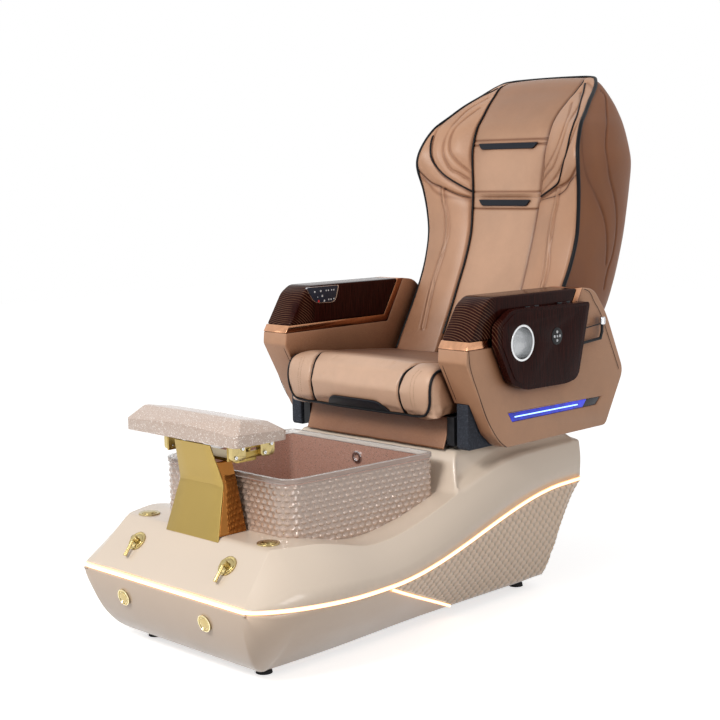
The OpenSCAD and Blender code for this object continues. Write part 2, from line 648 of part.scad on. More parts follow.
// a slanted edge strip of a folded side, from its front point to its rear point
module edge_bar(x, d0, d1, z) {
    translate([x - column_sheet, at(d0), z - 0.5]) cube([column_sheet, d1 - d0, 1]);
}
module footrest_column() {
    foot_z = mix(belt_nose_z, deck_z, column_front / deck_front) + 2 * eps;
    lower_lean = atan2(column_waist_at - column_front, column_waist_z - foot_z);
    lower_len = norm([column_waist_at - column_front, column_waist_z - foot_z]);
    upper_len = norm([column_top_at - column_waist_at, head_z - column_waist_z]);
    upper_lean = atan2(column_top_at - column_waist_at, head_z - column_waist_z);
    color([0.74, 0.63, 0.35]) {
        translate([0, at(column_front), foot_z]) rotate([90 - lower_lean, 0, 0])
            linear_extrude(column_sheet) polygon([[-column_foot_half, 0], [column_foot_half, 0],
                [column_waist_half, lower_len], [-column_waist_half, lower_len]]);
        translate([0, at(column_waist_at), column_waist_z]) rotate([90 - upper_lean, 0, 0])
            linear_extrude(column_sheet) polygon([[-column_waist_half, -3], [column_waist_half, -3],
                [column_top_half, upper_len + 40], [-column_top_half, upper_len + 40]]);
        both() {
            hull() {
                edge_bar(column_foot_half, column_front + 3, column_rear, deck_z + 1);
                edge_bar(column_waist_half, column_waist_at - 2, column_rear - 12, column_waist_z);
            }
            hull() {
                edge_bar(column_waist_half, column_waist_at - 2, column_rear - 12, column_waist_z);
                edge_bar(column_top_half, column_top_at - 2, column_rear - 20, head_z + 2);
            }
            block(0, column_front + 40, deck_z + eps, [2 * column_foot_half - 8, column_rear - column_front - 44, 3]);
            translate([head_half - 5, at(guide_at) - 10, head_z]) cube([4, 20, head_h + slot_z + 10]);
            translate([head_half - 3, at(guide_at), bar_z + slot_z]) rotate([0, 90, 0])
                cylinder(h = bar_x + bar_t - head_half + 3, r = slot_r - slip, $fn = steps);
        }
        translate([-head_half - 9, at(head_at[0]), head_z])
            cube([2 * head_half + 18, head_at[1] - head_at[0], head_h]);
    }
}
module bar_slot(reach) {
    for (s = [-1, 1]) translate([-cut, guide_at - bar_at[0] + s * reach, slot_z]) rotate([0, 90, 0])
        cylinder(h = bar_t + 2 * cut, r = slot_r, $fn = steps);
    translate([-cut, guide_at - bar_at[0] - reach, slot_z - slot_r]) cube([bar_t + 2 * cut, 2 * reach, 2 * slot_r]);
}
module footrest_bars() {
    color([0.74, 0.63, 0.35]) both() translate([bar_x, at(bar_at[0]), bar_z]) difference() {
        cube([bar_t, bar_at[1] - bar_at[0], bar_h]);
        bar_slot(pad_travel + 1);
        block_screw_places() rotate([0, 90, 0]) translate([0, 0, -cut])
            cylinder(h = bar_t + 2 * cut, r = screw_r + slip, $fn = 24);
    }
}
// the four screws of one side, measured from the bar's front lower corner
module block_screw_places() {
    for (d = [0, bar_at[1] - bar_at[0] - block_w], k = [[12, 9], [block_w - 11, bar_h - 7]])
        translate([0, d + k[0], k[1]]) children();
}
module footrest_blocks() {
    top = pad_z - bar_z - eps;
    color([0.80, 0.70, 0.42]) both() translate([bar_x + bar_t + eps, at(bar_at[0]), bar_z]) difference() {
        for (d = [0, bar_at[1] - bar_at[0] - block_w]) rotate([90, 0, 90]) linear_extrude(block_t)
            polygon(rounded([[d, 0, 12], [d + block_w, 0, 12], [d + block_w, top, 3], [d, top, 3]]));
        block_screw_places() rotate([0, 90, 0]) translate([0, 0, -cut])
            cylinder(h = block_t + 2 * cut, r = screw_r + slip, $fn = 24);
    }
}
module block_screws() {
    color([0.80, 0.80, 0.82]) both() translate([bar_x, at(bar_at[0]), bar_z]) block_screw_places()
        rotate([0, 90, 0]) difference() {
            union() {
                cylinder(h = bar_t + block_t + 1, r = screw_r, $fn = 24);
                translate([0, 0, bar_t + block_t + 2 * eps]) cylinder(h = 3, r = 4.5, $fn = 32);
            }
            translate([0, 0, bar_t + block_t + 2]) cylinder(h = 4, r = 2.2, $fn = 6);
        }
}
pad_at = 70;              // front edge of the footrest pad behind the nose
// a small upright edge of the pad, at a distance from its front
module pad_edge(x, d, z, h, r = 3) {
    translate([x, at(pad_at + d), pad_z + z]) cylinder(h = h, r = r, $fn = 24);
}
module footrest_pad() {
    color([0.84, 0.76, 0.70]) hull() {
        for (s = [-1, 1]) {
            pad_edge(s * (pad_half - 16), 16, 0, pad_side_h - 2, 14);
            pad_edge(s * (pad_half - 3), 40, 0, pad_side_h);
            pad_edge(s * (pad_half - 3), pad_depth - 30, 0, pad_side_h - 6);
            pad_edge(s * (pad_half - 22), pad_depth - 5, 0, pad_side_h - 10);
            pad_edge(s * (pad_half - 28), 44, pad_h - 4, 4);
            pad_edge(s * (pad_half - 34), pad_depth - 40, pad_h - 18, 4);
        }
        pad_edge(0, 6, pad_side_h + 2, 8);
    }
}
pad_side_h = 32;          // height of the pad's upright sides

// ---- seat slide and frame ---------------------------------------------------------
rail_x = 180;
rail_w = 36;
rail_h = 20;
rail_at = [784, 1166];
runner_at = [900, 1090];
runner_len = 46;
deck_top = plateau_z + eps;
seat_plate_z = deck_top + rail_h + 14;
screw_z = deck_top + rail_h / 2;
screw_drive_r = 8;
module seat_rails() {
    color([0.55, 0.56, 0.58]) both() difference() {
        block(rail_x, rail_at[0], deck_top, [rail_w, rail_at[1] - rail_at[0], rail_h]);
        for (s = [-1, 1]) translate([rail_x + s * rail_w / 2, at(rail_at[0]) - cut, deck_top + 5])
            translate([-5, 0, 0]) cube([10, rail_at[1] - rail_at[0] + 2 * cut, 7]);
    }
}
module slide_motor() {
    color([0.14, 0.14, 0.16]) {
        block(0, 1120, deck_top, [64, 44, rail_h + 10]);
        translate([0, at(1121), screw_z]) rotate([90, 0, 0]) cylinder(h = 270, r = screw_drive_r, $fn = steps);
    }
}
module seat_frame() {
    color([0.13, 0.13, 0.14]) {
        difference() {
            union() {
                block(0, 850, seat_plate_z, [2 * rail_x + 70, 370, 5]);
                both() for (d = runner_at) block(rail_x, d, deck_top + 13, [rail_w + 26, runner_len, seat_plate_z - deck_top - 12]);
                both() block(rail_x - 20, apron_at + apron_t + 2, seat_plate_z + 4, [40, 400, seat_z - seat_plate_z - 4 - eps]);
                block(0, apron_at + apron_t - 0.4, seat_plate_z + 5, [2 * rail_x + 40, 8, 30]);
                for (d = [860, 990, 1120]) block(0, d, seat_plate_z + 12, [2 * (pod_in - eps), 26, 26]);
                both() hinge_ear();
                block(0, 990, deck_top + eps, [30, 20, seat_plate_z - deck_top + 1]);
                both() block(pod_in - 14, 760, plateau_z + 12, [24, 106, seat_z - plateau_z - 14]);
            }
            both() for (d = runner_at) translate([0, -cut, 0])
                block(rail_x, d, deck_top + 12, [rail_w + 2 * eps, runner_len + 2 * cut, rail_h - 12 + eps]);
            translate([0, at(985), screw_z]) rotate([-90, 0, 0])
                cylinder(h = 40, r = screw_drive_r + slip, $fn = steps);
            both() translate([ear_x - 10, at(hinge_at), hinge_z]) rotate([0, 90, 0])
                cylinder(h = 40, r = hinge_r + slip, $fn = steps);
        }
    }
}
ear_x = 138;
ear_t = 12;
module hinge_ear() {
    slab(ear_x, ear_t, rounded([[at(1140), seat_plate_z, 0], [at(1240), seat_plate_z, 12],
        [at(hinge_at) + 24, hinge_z - 6, 14], [at(hinge_at) + 14, hinge_z + 20, 12],
        [at(hinge_at) - 20, hinge_z + 20, 12], [at(1180), seat_z - 3, 6], [at(1140), seat_z - 3, 0]]));
}
module recline_motor() {
    color([0.16, 0.17, 0.19]) {
        translate([-110, at(1200), seat_plate_z + 27]) rotate([0, 90, 0]) cylinder(h = 220, r = 20, $fn = steps);
        block(0, 1179, seat_plate_z + 5 + eps, [80, 40, 20]);
    }
}
boot_x = [300, 337];
boot_at = [757, 880];
module side_boots() {
    color([0.17, 0.18, 0.20]) both() slab(boot_x[0], boot_x[1] - boot_x[0], rounded([
        [at(boot_at[0]), pod_z + 8, 4], [at(boot_at[0]) + 5, plateau_z + 5, 4],
        [at(boot_at[1]), plateau_z + 5, 4], [at(boot_at[1]), pod_cut_z - eps, 0],
        [at(boot_at[0]), pod_cut_z - eps, 3]]));
}

// ---- seat cushion ------------------------------------------------------------------
seat_edge = 22;           // width over which the cushion's sides round off
seat_inset = 15;          // how far they draw in
seat_x = [0, 70, 130, 160, 168, 176, 184, 192, 200, 208, 216, 236, seat_half - 22, seat_half - 14,
    seat_half - 7, seat_half - 2, seat_half];
// the cushion's profile from its front foot over the top to its rear foot
seat_side = concat(
    [[seat_front + 28, seat_z], [seat_front + 22, seat_z + 8], [seat_front + 6, seat_z + 46],
     [seat_front, seat_z + 74], [seat_front + 5, seat_front_z - 36],
     [seat_front + 19, seat_front_z - 15], [seat_front + 41, seat_front_z - 3]],
    [for (t = [0:0.2:1]) [mix(seat_front + 74, seat_rear - 22, t), mix(seat_front_z, seat_rear_z, t)]],
    [[seat_rear - 5, seat_rear_z - 11], [seat_rear, seat_rear_z - 31], [seat_rear, seat_z]]);
// distance of the sewn channel from the centre, for a point of the profile
function channel(p) = mix(168, 206, clamp01((p[0] - seat_front - 5) / 110));
function seat_point(p, x) = let (
    edge = clamp01((abs(x) - seat_half + seat_edge) / seat_edge),
    t = seat_inset * (1 - sqrt(1 - edge * edge)) + 5 * pow(x / seat_half, 2)
        + 6 * exp(-pow((abs(x) - channel(p)) / 8, 2)))
    [x, at(p[0] + t * clamp01((seat_front + 40 - p[0]) / 40)
        - seat_inset * (1 - sqrt(1 - edge * edge)) * clamp01((p[0] - seat_rear + 20) / 20)),
        p[1] - t * clamp01((p[1] - seat_z - 52) / 80)];
module seat_cushion() {
    xs = concat([for (i = [len(seat_x) - 1:-1:1]) -seat_x[i]], seat_x);
    color([0.69, 0.50, 0.38]) loft([for (x = xs)
        [for (i = [len(seat_side) - 1:-1:0]) seat_point(seat_side[i], x)]]);
}
tab_half = 86;
module seat_tab() {
    lean = atan2(16, 38);
    color([0.10, 0.11, 0.14]) translate([0, at(seat_front + 22), seat_z + 8]) rotate([90 + lean, 0, 0])
        translate([0, 0, eps]) linear_extrude(3) polygon(rounded([[-tab_half, 2, 3], [tab_half, 2, 3],
            [tab_half - 14, 34, 8], [-tab_half + 14, 34, 8]]));
}
apron_at = 764;
apron_t = 4;
apron_half = 262;
apron_z = 467;
module apron() {
    n = 24;
    color([0.66, 0.48, 0.36]) loft([for (k = [0:n]) let (x = mix(-apron_half, apron_half, k / n),
        wave = 1.2 * sin(k * 75)) [for (c = [[0, 0], [0, 1], [1, 1], [1, 0]])
        [x, at(apron_at) + c[0] * (apron_t - 1.2) + wave * (1 - c[1]) * 0.6,
            mix(apron_z + 0.8 * abs(wave), seat_z - 2, c[1])]]]);
}

// ---- arm pods ------------------------------------------------------------------------
pod_out = pod_in + pod_w;
pod_cut_x = 340;          // outer side of the hollow over a side boot
pod_cut_z = 585;          // top of that hollow
cap_foot = band_z + band_h;
pod_outline = rounded(placed([[697, band_z, 0], [694, band_z - 34, 6], [802, 503, 14], [850, pod_z, 20],
    [1304, pod_z, 14], [1391, 612, 26], [1306, 785, 30], [1246, arm_z - 10, 26],
    [1190, arm_z - 3, 0], [1118, band_z, 0]]));
cap_outline = rounded(placed([[710, cap_foot, 0], [766, arm_z - 21, 14], [800, arm_z, 14],
    [1166, arm_z - 3, 0], [1104, cap_foot, 0]]));
band_outline = placed([[697, band_z, 0], [710, cap_foot, 0], [1104, cap_foot, 0],
    [1166, arm_z - 3, 0], [1190, arm_z - 3, 0], [1118, band_z, 0]]);
lamp_outline = placed([[867, 553, 0], [1280, 547, 0], [1256, 527, 0], [883, 529, 0]]);
lamp_depth = 9;
cup_at = 887;
cup_z = 741;
pocket_x = pod_out + tray_gap + tray_t - cup_depth - 12;
module cup_pocket() {
    translate([pocket_x, at(cup_at) - cup_r - 11, cup_z - cup_r - 18])
        cube([pod_w, 2 * cup_r + 22, 2 * cup_r + 33]);
}
function flat(v) = [for (p = v) [p[0], p[1]]];
module pod(s) {
    color([0.66, 0.48, 0.36]) side(s) difference() {
        slab(pod_in, pod_w, pod_outline);
        translate([0, at(600), 0]) cube([pod_cut_x, boot_at[1] - 600 + 1, pod_cut_z]);
        cup_pocket();
        slab(pod_out - lamp_depth, lamp_depth + cut, flat(lamp_outline));
    }
}
module pod_left() { pod(1); }
module pod_right() { pod(-1); }
module arm_cap(s) {
    color([0.17, 0.07, 0.06]) side(s) difference() {
        slab(pod_in, pod_w, cap_outline);
        cup_pocket();
    }
}
module arm_cap_left() { arm_cap(1); }
module arm_cap_right() { arm_cap(-1); }
module arm_bands() {
    color([0.58, 0.33, 0.16]) both() difference() {
        slab(pod_in, pod_w, flat(band_outline));
        cup_pocket();
    }
}
module pod_lamps() {
    color([0.12, 0.20, 0.85]) both() slab(pod_out - lamp_depth + eps, lamp_depth - 3,
        [for (p = lamp_outline) [p[0] + (p[0] < at(1070) ? 1.2 : -1.2), p[1] + (p[1] > 540 ? -eps : eps)]]);
}
module control_panel() {
    color([0.18, 0.20, 0.26]) mirror([1, 0, 0]) slab(pod_in - 2.5 - eps, 2.5, rounded(placed([
        [776, arm_z - 4, 6], [808, arm_z - 52, 22], [896, arm_z - 56, 20], [912, arm_z - 5, 6]])));
}

// ---- trays ------------------------------------------------------------------------------
tray_in = pod_out + tray_gap;
tray_out = tray_in + tray_t;
tray_top = 831;
tray_hinge_x = pod_out + tray_gap / 2;
tray_hinge_z = tray_top - 2.6;
tray_knuckle_r = 3.1;
tray_pin_r = 1.5;
tray_hinges = [960, 1100];
tray_outline = rounded(placed([[849, tray_top, 22], [1190, tray_top - 5, 14], [1136, 620, 26],
    [1083, 611, 16], [905, 614, 20], [846, 636, 20], [789, 742, 12], [789, 793, 14]]));
tray_face_outline = rounded(placed([[857, tray_top - 9, 16], [1176, tray_top - 14, 10], [1126, 630, 20],
    [1080, 622, 12], [910, 625, 16], [858, 645, 14], [806, 742, 10], [806, 790, 12]]));
disc_at = 1035;
disc_z = 745;
disc_r = 23;
knuckle_w = 18;
module knuckle(k) {
    translate([tray_hinge_x, k * (knuckle_w + eps) - knuckle_w / 2, tray_hinge_z]) rotate([-90, 0, 0])
        cylinder(h = knuckle_w, r = tray_knuckle_r, $fn = steps);
}
module tray_brackets() {
    color([0.20, 0.20, 0.22]) both() for (d = tray_hinges) translate([0, at(d), 0]) {
        for (k = [-1, 1]) {
            knuckle(k);
            translate([pod_out + eps, k * (knuckle_w + eps) - knuckle_w / 2, tray_hinge_z - 14])
                cube([1.4, knuckle_w, 14]);
        }
        translate([tray_hinge_x, -1.4 * knuckle_w, tray_hinge_z]) rotate([-90, 0, 0])
            cylinder(h = 2.8 * knuckle_w, r = tray_pin_r, $fn = steps);
    }
}
module tray(s) {
    color([0.17, 0.07, 0.06]) side(s) {
        difference() {
            union() {
                slab(tray_in, tray_t - 2.5, tray_outline);
                slab(tray_in + 1, tray_t - 1, tray_face_outline);
                for (d = tray_hinges) translate([0, at(d), 0]) {
                    knuckle(0);
                    translate([tray_hinge_x, -knuckle_w / 2, tray_hinge_z - tray_knuckle_r])
                        cube([tray_in - tray_hinge_x + cut, knuckle_w, 2 * tray_knuckle_r - 1]);
                }
            }
            for (d = tray_hinges) translate([tray_hinge_x, at(d) - knuckle_w, tray_hinge_z]) rotate([-90, 0, 0])
                cylinder(h = 2 * knuckle_w, r = tray_pin_r + slip, $fn = steps);
            translate([tray_in - cut, at(cup_at), cup_z]) rotate([0, 90, 0])
                cylinder(h = 40, r = cup_r + slip, $fn = steps);
            translate([tray_out - 4, at(disc_at), disc_z]) rotate([0, 90, 0])
                cylinder(h = 10, r = disc_r + slip, $fn = steps);
        }
    }
}
module tray_left() { tray(1); }
module tray_right() { tray(-1); }
knob_at = 1258;
knob_z = 766;
handle_r = 4;
module tray_handles(s) {
    x = tray_in + tray_t / 2;
    y = at(knob_at);
    color([0.10, 0.10, 0.11]) side(s) {
        rod([x, at(1162), 712], [x, y - 8, 718], handle_r);
        translate([x, y - 8, 718]) sphere(r = handle_r + 0.5, $fn = 32);
        rod([x, y - 8, 718], [x, y, 736], handle_r);
        translate([x, y, 736]) sphere(r = handle_r + 0.5, $fn = 32);
        rod([x, y, 736], [x, y, knob_z - 6], handle_r);
        translate([x, y, knob_z - 11]) rotate_extrude($fn = steps)
            polygon([[0, 0], [6, 0], [9, 3], [9, 19], [7, 22], [0, 22]]);
        rod([x, y - 3, knob_z - 7], [x, at(1172), 752], 1.6);
        translate([pod_out + eps, at(812), 753]) rotate([0, 90, 0])
            cylinder(h = tray_gap - 2 * eps, r = 6, $fn = steps);
    }
}
module tray_handles_left() { tray_handles(1); }
module tray_handles_right() { tray_handles(-1); }
cup_lip = 4;
cup_t = 1.5;
module cup(s) {
    color([0.80, 0.81, 0.83]) side(s) translate([tray_out + eps, at(cup_at), cup_z]) rotate([0, -90, 0])
        difference() {
            union() {
                translate([0, 0, -1.5]) cylinder(h = 1.5, r = cup_r + cup_lip, $fn = steps);
                cylinder(h = cup_depth, r = cup_r, $fn = steps);
            }
            translate([0, 0, -2 - cut]) cylinder(h = cup_depth + 2 + cut - cup_t, r = cup_r - cup_t, $fn = steps);
        }
}
module cup_left() { cup(1); }
module cup_right() { cup(-1); }
module tray_disc(s) {
    color([0.07, 0.07, 0.08]) side(s) translate([tray_out - 4 + eps, at(disc_at), disc_z]) rotate([0, 90, 0])
        cylinder(h = 5, r = disc_r, $fn = steps);
}
module tray_disc_left() { tray_disc(1); }
module tray_disc_right() { tray_disc(-1); }

// ---- backrest ------------------------------------------------------------------------------
// height, half width of the outer piping, its distance, half width of the centre, its distance,
// and the rear surface's distance, for a back whose top is 1456 high
back_rows = [
    [648, 268, 1128, 127, 1160, 1440], [700, 271, 1160, 127, 1186, 1490],
    [780, 272, 1208, 126, 1226, 1556], [852, 274, 1250, 124, 1258, 1590],
    [916, 278, 1280, 122, 1286, 1609], [993, 283, 1302, 122, 1313, 1627],
    [1060, 288, 1303, 127, 1328, 1637], [1130, 296, 1294, 131, 1337, 1642],
    [1204, 306, 1276, 138, 1343, 1640], [1253, 299, 1285, 142, 1350, 1634],
    [1314, 280, 1326, 144, 1374, 1624], [1350, 260, 1376, 145, 1404, 1616],
    [1384, 239, 1425, 151, 1438, 1603], [1414, 216, 1478, 156, 1473, 1584],
    [1439, 194, 1518, 158, 1501, 1562], [1456, 170, 1546, 148, 1528, 1564]];
// a height of that back on this one
function up(z) = mix(hinge_z, back_top_z, (z - 590) / 866);
back_form = [for (r = back_rows) [for (k = [0:5]) k == 0 ? up(r[0]) : r[k]]];
back_z = [for (r = back_form) r[0]];
function column(k) = [for (r = back_form) [r[0], r[k]]];
function back_at(z, k) = lookup(z, column(k));
head_seam_z = up(1106);
pad_foot_z = up(652);     // foot of the back cushion
shell_foot_z = up(604);   // foot of the back shell
back_crown = 7;           // how far the back cushion stands out
head_crown = 9;           // how far the head cushion stands out
module back_cushion() { centre_pad(pad_foot_z, head_seam_z - seam, back_crown, 0.66); }
module head_cushion() { centre_pad(head_seam_z + seam, back_top_z, head_crown, 0.69); }
seam = 0.2;               // half the gap of a sewn seam
pad_roll = 18;            // height over which a pad's ends round off
// how full a pad is at a height, from 0 at its end to 1
function fullness(z, z0, z1) = clamp01(0.2 + min(z - z0, z1 - z) / pad_roll);
// the rear of the pads, ahead of the shell's wall
function pad_rear(z) = min(back_at(z, 4) + back_pad_t, back_at(z, 5) - shell_wall - 1);
// the sewn pad between the two wings, from one height to another
module centre_pad(z0, z1, crown, tone) {
    zs = concat([z0, z0 + pad_roll], [for (z = back_z) if (z > z0 + 26 && z < z1 - 26) z],
        [z1 - pad_roll, z1]);
    n = 10;
    color([tone, tone * 0.73, tone * 0.55]) loft([for (z = zs) let (
        w = back_at(z, 3) - seam, y = at(back_at(z, 4)), rear = at(pad_rear(z)))
        concat([for (i = [0:n]) let (x = mix(-w, w, i / n))
                [x, y + 4 - crown * fullness(z, z0, z1) * (1 - pow(x / w, 4)), z]],
            [[w, rear, z], [0, rear, z], [-w, rear, z]])]);
}
module back_wings() {
    n = 9;
    color([0.64, 0.46, 0.34]) both() loft([for (z = back_z) let (
        w0 = back_at(z, 3) + seam, d0 = back_at(z, 4), w1 = back_at(z, 1), d1 = back_at(z, 2),
        swell = 14 * sin(180 * clamp01((z - 600) / 840)))
        concat([for (i = [0:n]) let (t = i / n) [mix(w0, w1, t),
                at(mix(d0, d1, t) - swell * sin(180 * pow(t, 0.8)) + 3 * (1 - t)), z]],
            [[w1 - 1, at(d1 + 9), z], [w1 - 16, at(d1 + 9), z],
             [w0, at(max(pad_rear(z), d1 + 9)), z]])]);
}
function shell_ring(z, t, front) = let (
    w = back_at(z, 1) - t, f = back_at(z, 2) + 9 + eps + front, d = back_at(z, 5) - t)
    [for (a = [0:9:180]) [w * sign(cos(a)) * pow(abs(cos(a)), 0.3),
        at(f) + (d - f) * pow(sin(a), 0.5), z]];
module back_shell() {
    foot = shell_foot_z;
    color([0.60, 0.43, 0.32]) difference() {
        loft([for (z = concat([foot, foot + 18], back_z))
            shell_ring(z, z < foot + 1 ? 16 : z < foot + 19 ? 4 : 0, 0)]);
        loft([for (z = concat([foot + 12], back_z, [back_top_z + cut]))
            shell_ring(z, shell_wall + (z < foot + 13 ? 4 : 0), -8)]);
        both() translate([ear_x - 14, at(hinge_at) - 78, hinge_z - 30]) cube([ear_t + 20, 140, 110]);
    }
}
upright_x = 160;
upright_w = 22;
upright_foot = 1300;
upright_lean = 14.5;
upright_z = 640;
upright_len = 690;
back_rail_x = 100;
back_rail_r = 6;
module back_line() {
    translate([0, at(upright_foot), upright_z]) rotate([-upright_lean, 0, 0]) children();
}
shell_bar_at = [60, 560];   // places along the uprights of the bars that carry the shell
shell_bar_y = 15;          // how far behind the uprights' line those bars start
// half length of such a bar, up to the shell's inner face
function shell_bar_half(place) = let (
    z = upright_z + place * cos(upright_lean) - (shell_bar_y + 14) * sin(upright_lean),
    d = upright_foot + (shell_bar_y + 14) * cos(upright_lean) + (place + 12) * sin(upright_lean),
    f = back_at(z, 2) + 9 + eps - 8, far = back_at(z, 5) - shell_wall)
    (back_at(z, 1) - shell_wall) * pow(1 - pow((d - f) / (far - f), 4), 0.15) - 2 * eps - 0.2;
module back_frame() {
    color([0.14, 0.14, 0.15]) {
        both() {
            translate([ear_x - 12, at(hinge_at), hinge_z]) rotate([0, 90, 0])
                cylinder(h = ear_t + 16, r = hinge_r, $fn = steps);
            slab(ear_x - 12, 11, rounded([[at(hinge_at) - 16, hinge_z - 16, 10],
                [at(hinge_at) + 16, hinge_z - 16, 10], [at(hinge_at) + 56, upright_z + 24, 4],
                [at(hinge_at) + 22, upright_z + 24, 4]]));
            back_line() translate([upright_x - upright_w - 14, -upright_w / 2, 0])
                cube([upright_w, upright_w, upright_len]);
            back_line() translate([back_rail_x, 0, 10]) cylinder(h = upright_len - 20, r = back_rail_r, $fn = steps);
        }
        for (z = [0, upright_len - upright_w]) back_line() translate([-upright_x + 20, -upright_w / 2, z])
            cube([2 * upright_x - 40, upright_w, upright_w]);
        for (z = shell_bar_at) let (half = shell_bar_half(z)) {
            back_line() translate([-half, shell_bar_y, z]) cube([2 * half, 14, 12]);
            both() back_line() translate([upright_x - upright_w - 14, 0, z]) cube([upright_w, shell_bar_y + 1, 12]);
        }
    }
}
carriage_z = 250;
carriage_h = 90;
kneader_y = -27;
kneader_r = 5;
module massage_carriage() {
    color([0.30, 0.31, 0.34]) back_line() difference() {
        union() {
            translate([-back_rail_x - 16, -13, carriage_z]) cube([2 * back_rail_x + 32, 26, carriage_h]);
            for (x = [-80, 80]) translate([x - 6, kneader_y - 9, carriage_z + carriage_h / 2 - 12])
                cube([12, -kneader_y, 24]);
        }
        for (x = [-back_rail_x, back_rail_x]) translate([x, 0, carriage_z - cut])
            cylinder(h = carriage_h + 2 * cut, r = back_rail_r + slip, $fn = steps);
        translate([-100, kneader_y, carriage_z + carriage_h / 2]) rotate([0, 90, 0])
            cylinder(h = 200, r = kneader_r + slip, $fn = steps);
    }
}
module massage_rollers() {
    color([0.75, 0.68, 0.55]) back_line() translate([0, kneader_y, carriage_z + carriage_h / 2]) {
        translate([-90, 0, 0]) rotate([0, 90, 0]) cylinder(h = 180, r = kneader_r, $fn = steps);
        for (x = [-58, 34]) translate([x, 0, 0]) rotate([0, 90, 0]) cylinder(h = 24, r = 13, $fn = steps);
    }
}
module back_tabs() {
    color([0.10, 0.11, 0.14]) for (k = [[up(1258), 112, head_crown], [up(1090), 98, back_crown]]) let (
        rise = 2 * tab_reach, fall = back_at(k[0] + tab_reach, 4) - back_at(k[0] - tab_reach, 4))
        translate([0, at(back_at(k[0], 4)) + 4 - k[2] - eps - (k[2] == back_crown ? 0.3 : 0), k[0]])
        rotate([90 - atan2(fall, rise), 0, 0]) linear_extrude(3) polygon(rounded([
            [-k[1] + 14, -tab_reach, 4], [k[1] - 14, -tab_reach, 4],
            [k[1], tab_reach, 3], [-k[1], tab_reach, 3]]));
}
tab_reach = 9;            // half height of a tab

lower_hull();
upper_hull();
belt_light();
branch_lights();
scale_panels();
levelling_feet();
base_frame();
basin();
basin_rim();
overflow_ring();
drain_strainer();
drain_tail();
jet_motor();
jet_impeller();
jet_cover();
water_valves();
tap_plates();
tap_lever_left();
tap_lever_right();
button_bezels();
deck_button_left();
deck_button_right();
nose_caps();
footrest_column();
footrest_bars();
footrest_blocks();
block_screws();
footrest_pad();
seat_rails();
slide_motor();
seat_frame();
side_boots();
seat_cushion();
seat_tab();
apron();
pod_left();
pod_right();
arm_cap_left();
arm_cap_right();
arm_bands();
pod_lamps();
control_panel();
tray_brackets();
tray_left();
tray_right();
tray_handles_left();
tray_handles_right();
cup_left();
cup_right();
tray_disc_left();
tray_disc_right();
recline_motor();
back_frame();
back_shell();
back_cushion();
back_wings();
head_cushion();
back_tabs();
massage_carriage();
massage_rollers();
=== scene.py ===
"""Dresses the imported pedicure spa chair: shells, leather, wood, metal and the studio round it."""
import logging
from collections.abc import Callable, Sequence
from dataclasses import dataclass
from enum import Enum
from math import atan, atan2, copysign, cos, exp, floor, hypot, pi, radians, sin, sqrt, tau

import bmesh
import bpy
from mathutils import Matrix, Vector, noise
from mathutils.bvhtree import BVHTree
from mathutils.kdtree import KDTree


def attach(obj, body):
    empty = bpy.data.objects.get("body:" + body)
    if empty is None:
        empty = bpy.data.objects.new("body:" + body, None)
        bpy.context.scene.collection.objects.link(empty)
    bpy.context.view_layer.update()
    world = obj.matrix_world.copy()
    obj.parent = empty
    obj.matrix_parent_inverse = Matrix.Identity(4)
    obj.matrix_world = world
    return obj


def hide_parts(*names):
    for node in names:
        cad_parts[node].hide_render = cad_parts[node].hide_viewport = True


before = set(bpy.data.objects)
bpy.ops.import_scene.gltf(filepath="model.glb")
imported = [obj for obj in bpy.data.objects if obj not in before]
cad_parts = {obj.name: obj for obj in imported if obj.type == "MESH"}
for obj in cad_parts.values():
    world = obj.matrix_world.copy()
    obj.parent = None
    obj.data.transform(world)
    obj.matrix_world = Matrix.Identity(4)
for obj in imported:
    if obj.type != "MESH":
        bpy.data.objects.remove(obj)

LOG = logging.getLogger("spa_chair")
MM = 0.001
NOSE_REACH = 821.0
WELD = 1e-5
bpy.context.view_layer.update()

Mesh = bmesh.types.BMesh
Piece = bpy.types.Object
Tree = bpy.types.NodeTree
Node = bpy.types.Node
Wire = bpy.types.NodeSocket
Wires = dict[str | int, object]
Spots = Sequence[Sequence[float]]
Path = list[Vector]
Colour = tuple[int, int, int]


# ---- numbers ----

def at(d: float) -> float:
    """Returns the y of a place d millimetres behind the nose."""
    return d - NOSE_REACH


def mix(a: float, b: float, t: float) -> float:
    """Returns the value a share t of the way from a to b."""
    return a + (b - a) * t


def clamp01(t: float) -> float:
    """Returns t held between 0 and 1."""
    return min(1.0, max(0.0, t))


def ease(t: float) -> float:
    """Returns a smooth step from 0 to 1 as t does."""
    c = clamp01(t)
    return c * c * (3 - 2 * c)


def rise(t: float, power: float) -> float:
    """Returns a quarter sine of t to a power, from 0 to 1."""
    return sin(pi / 2 * clamp01(t) ** power)


def bell(x: float, width: float) -> float:
    """Returns a bell curve of height 1 at x = 0."""
    return exp(-(x / width) ** 2)


def round_off(share: float) -> float:
    """Returns how far a quarter round has fallen, 0 where it starts and 1 at its end."""
    return 1 - sqrt(max(0.0, 1 - max(0.0, share) ** 2))


def circle(x: float, y: float, r: float, n: int, start: float = 0.0, more: int = 0) -> list[
        tuple[float, float]]:
    """Returns n places round a circle, and as many more as asked for past its start."""
    return [(x + r * cos(tau * k / n + start), y + r * sin(tau * k / n + start)) for k in range(n
        + more)]


def flipped(path: Spots) -> Path:
    """Returns a path's mirror image across the middle plane, last place first."""
    return [Vector((-x, y, z)) for x, y, z in reversed(path)]


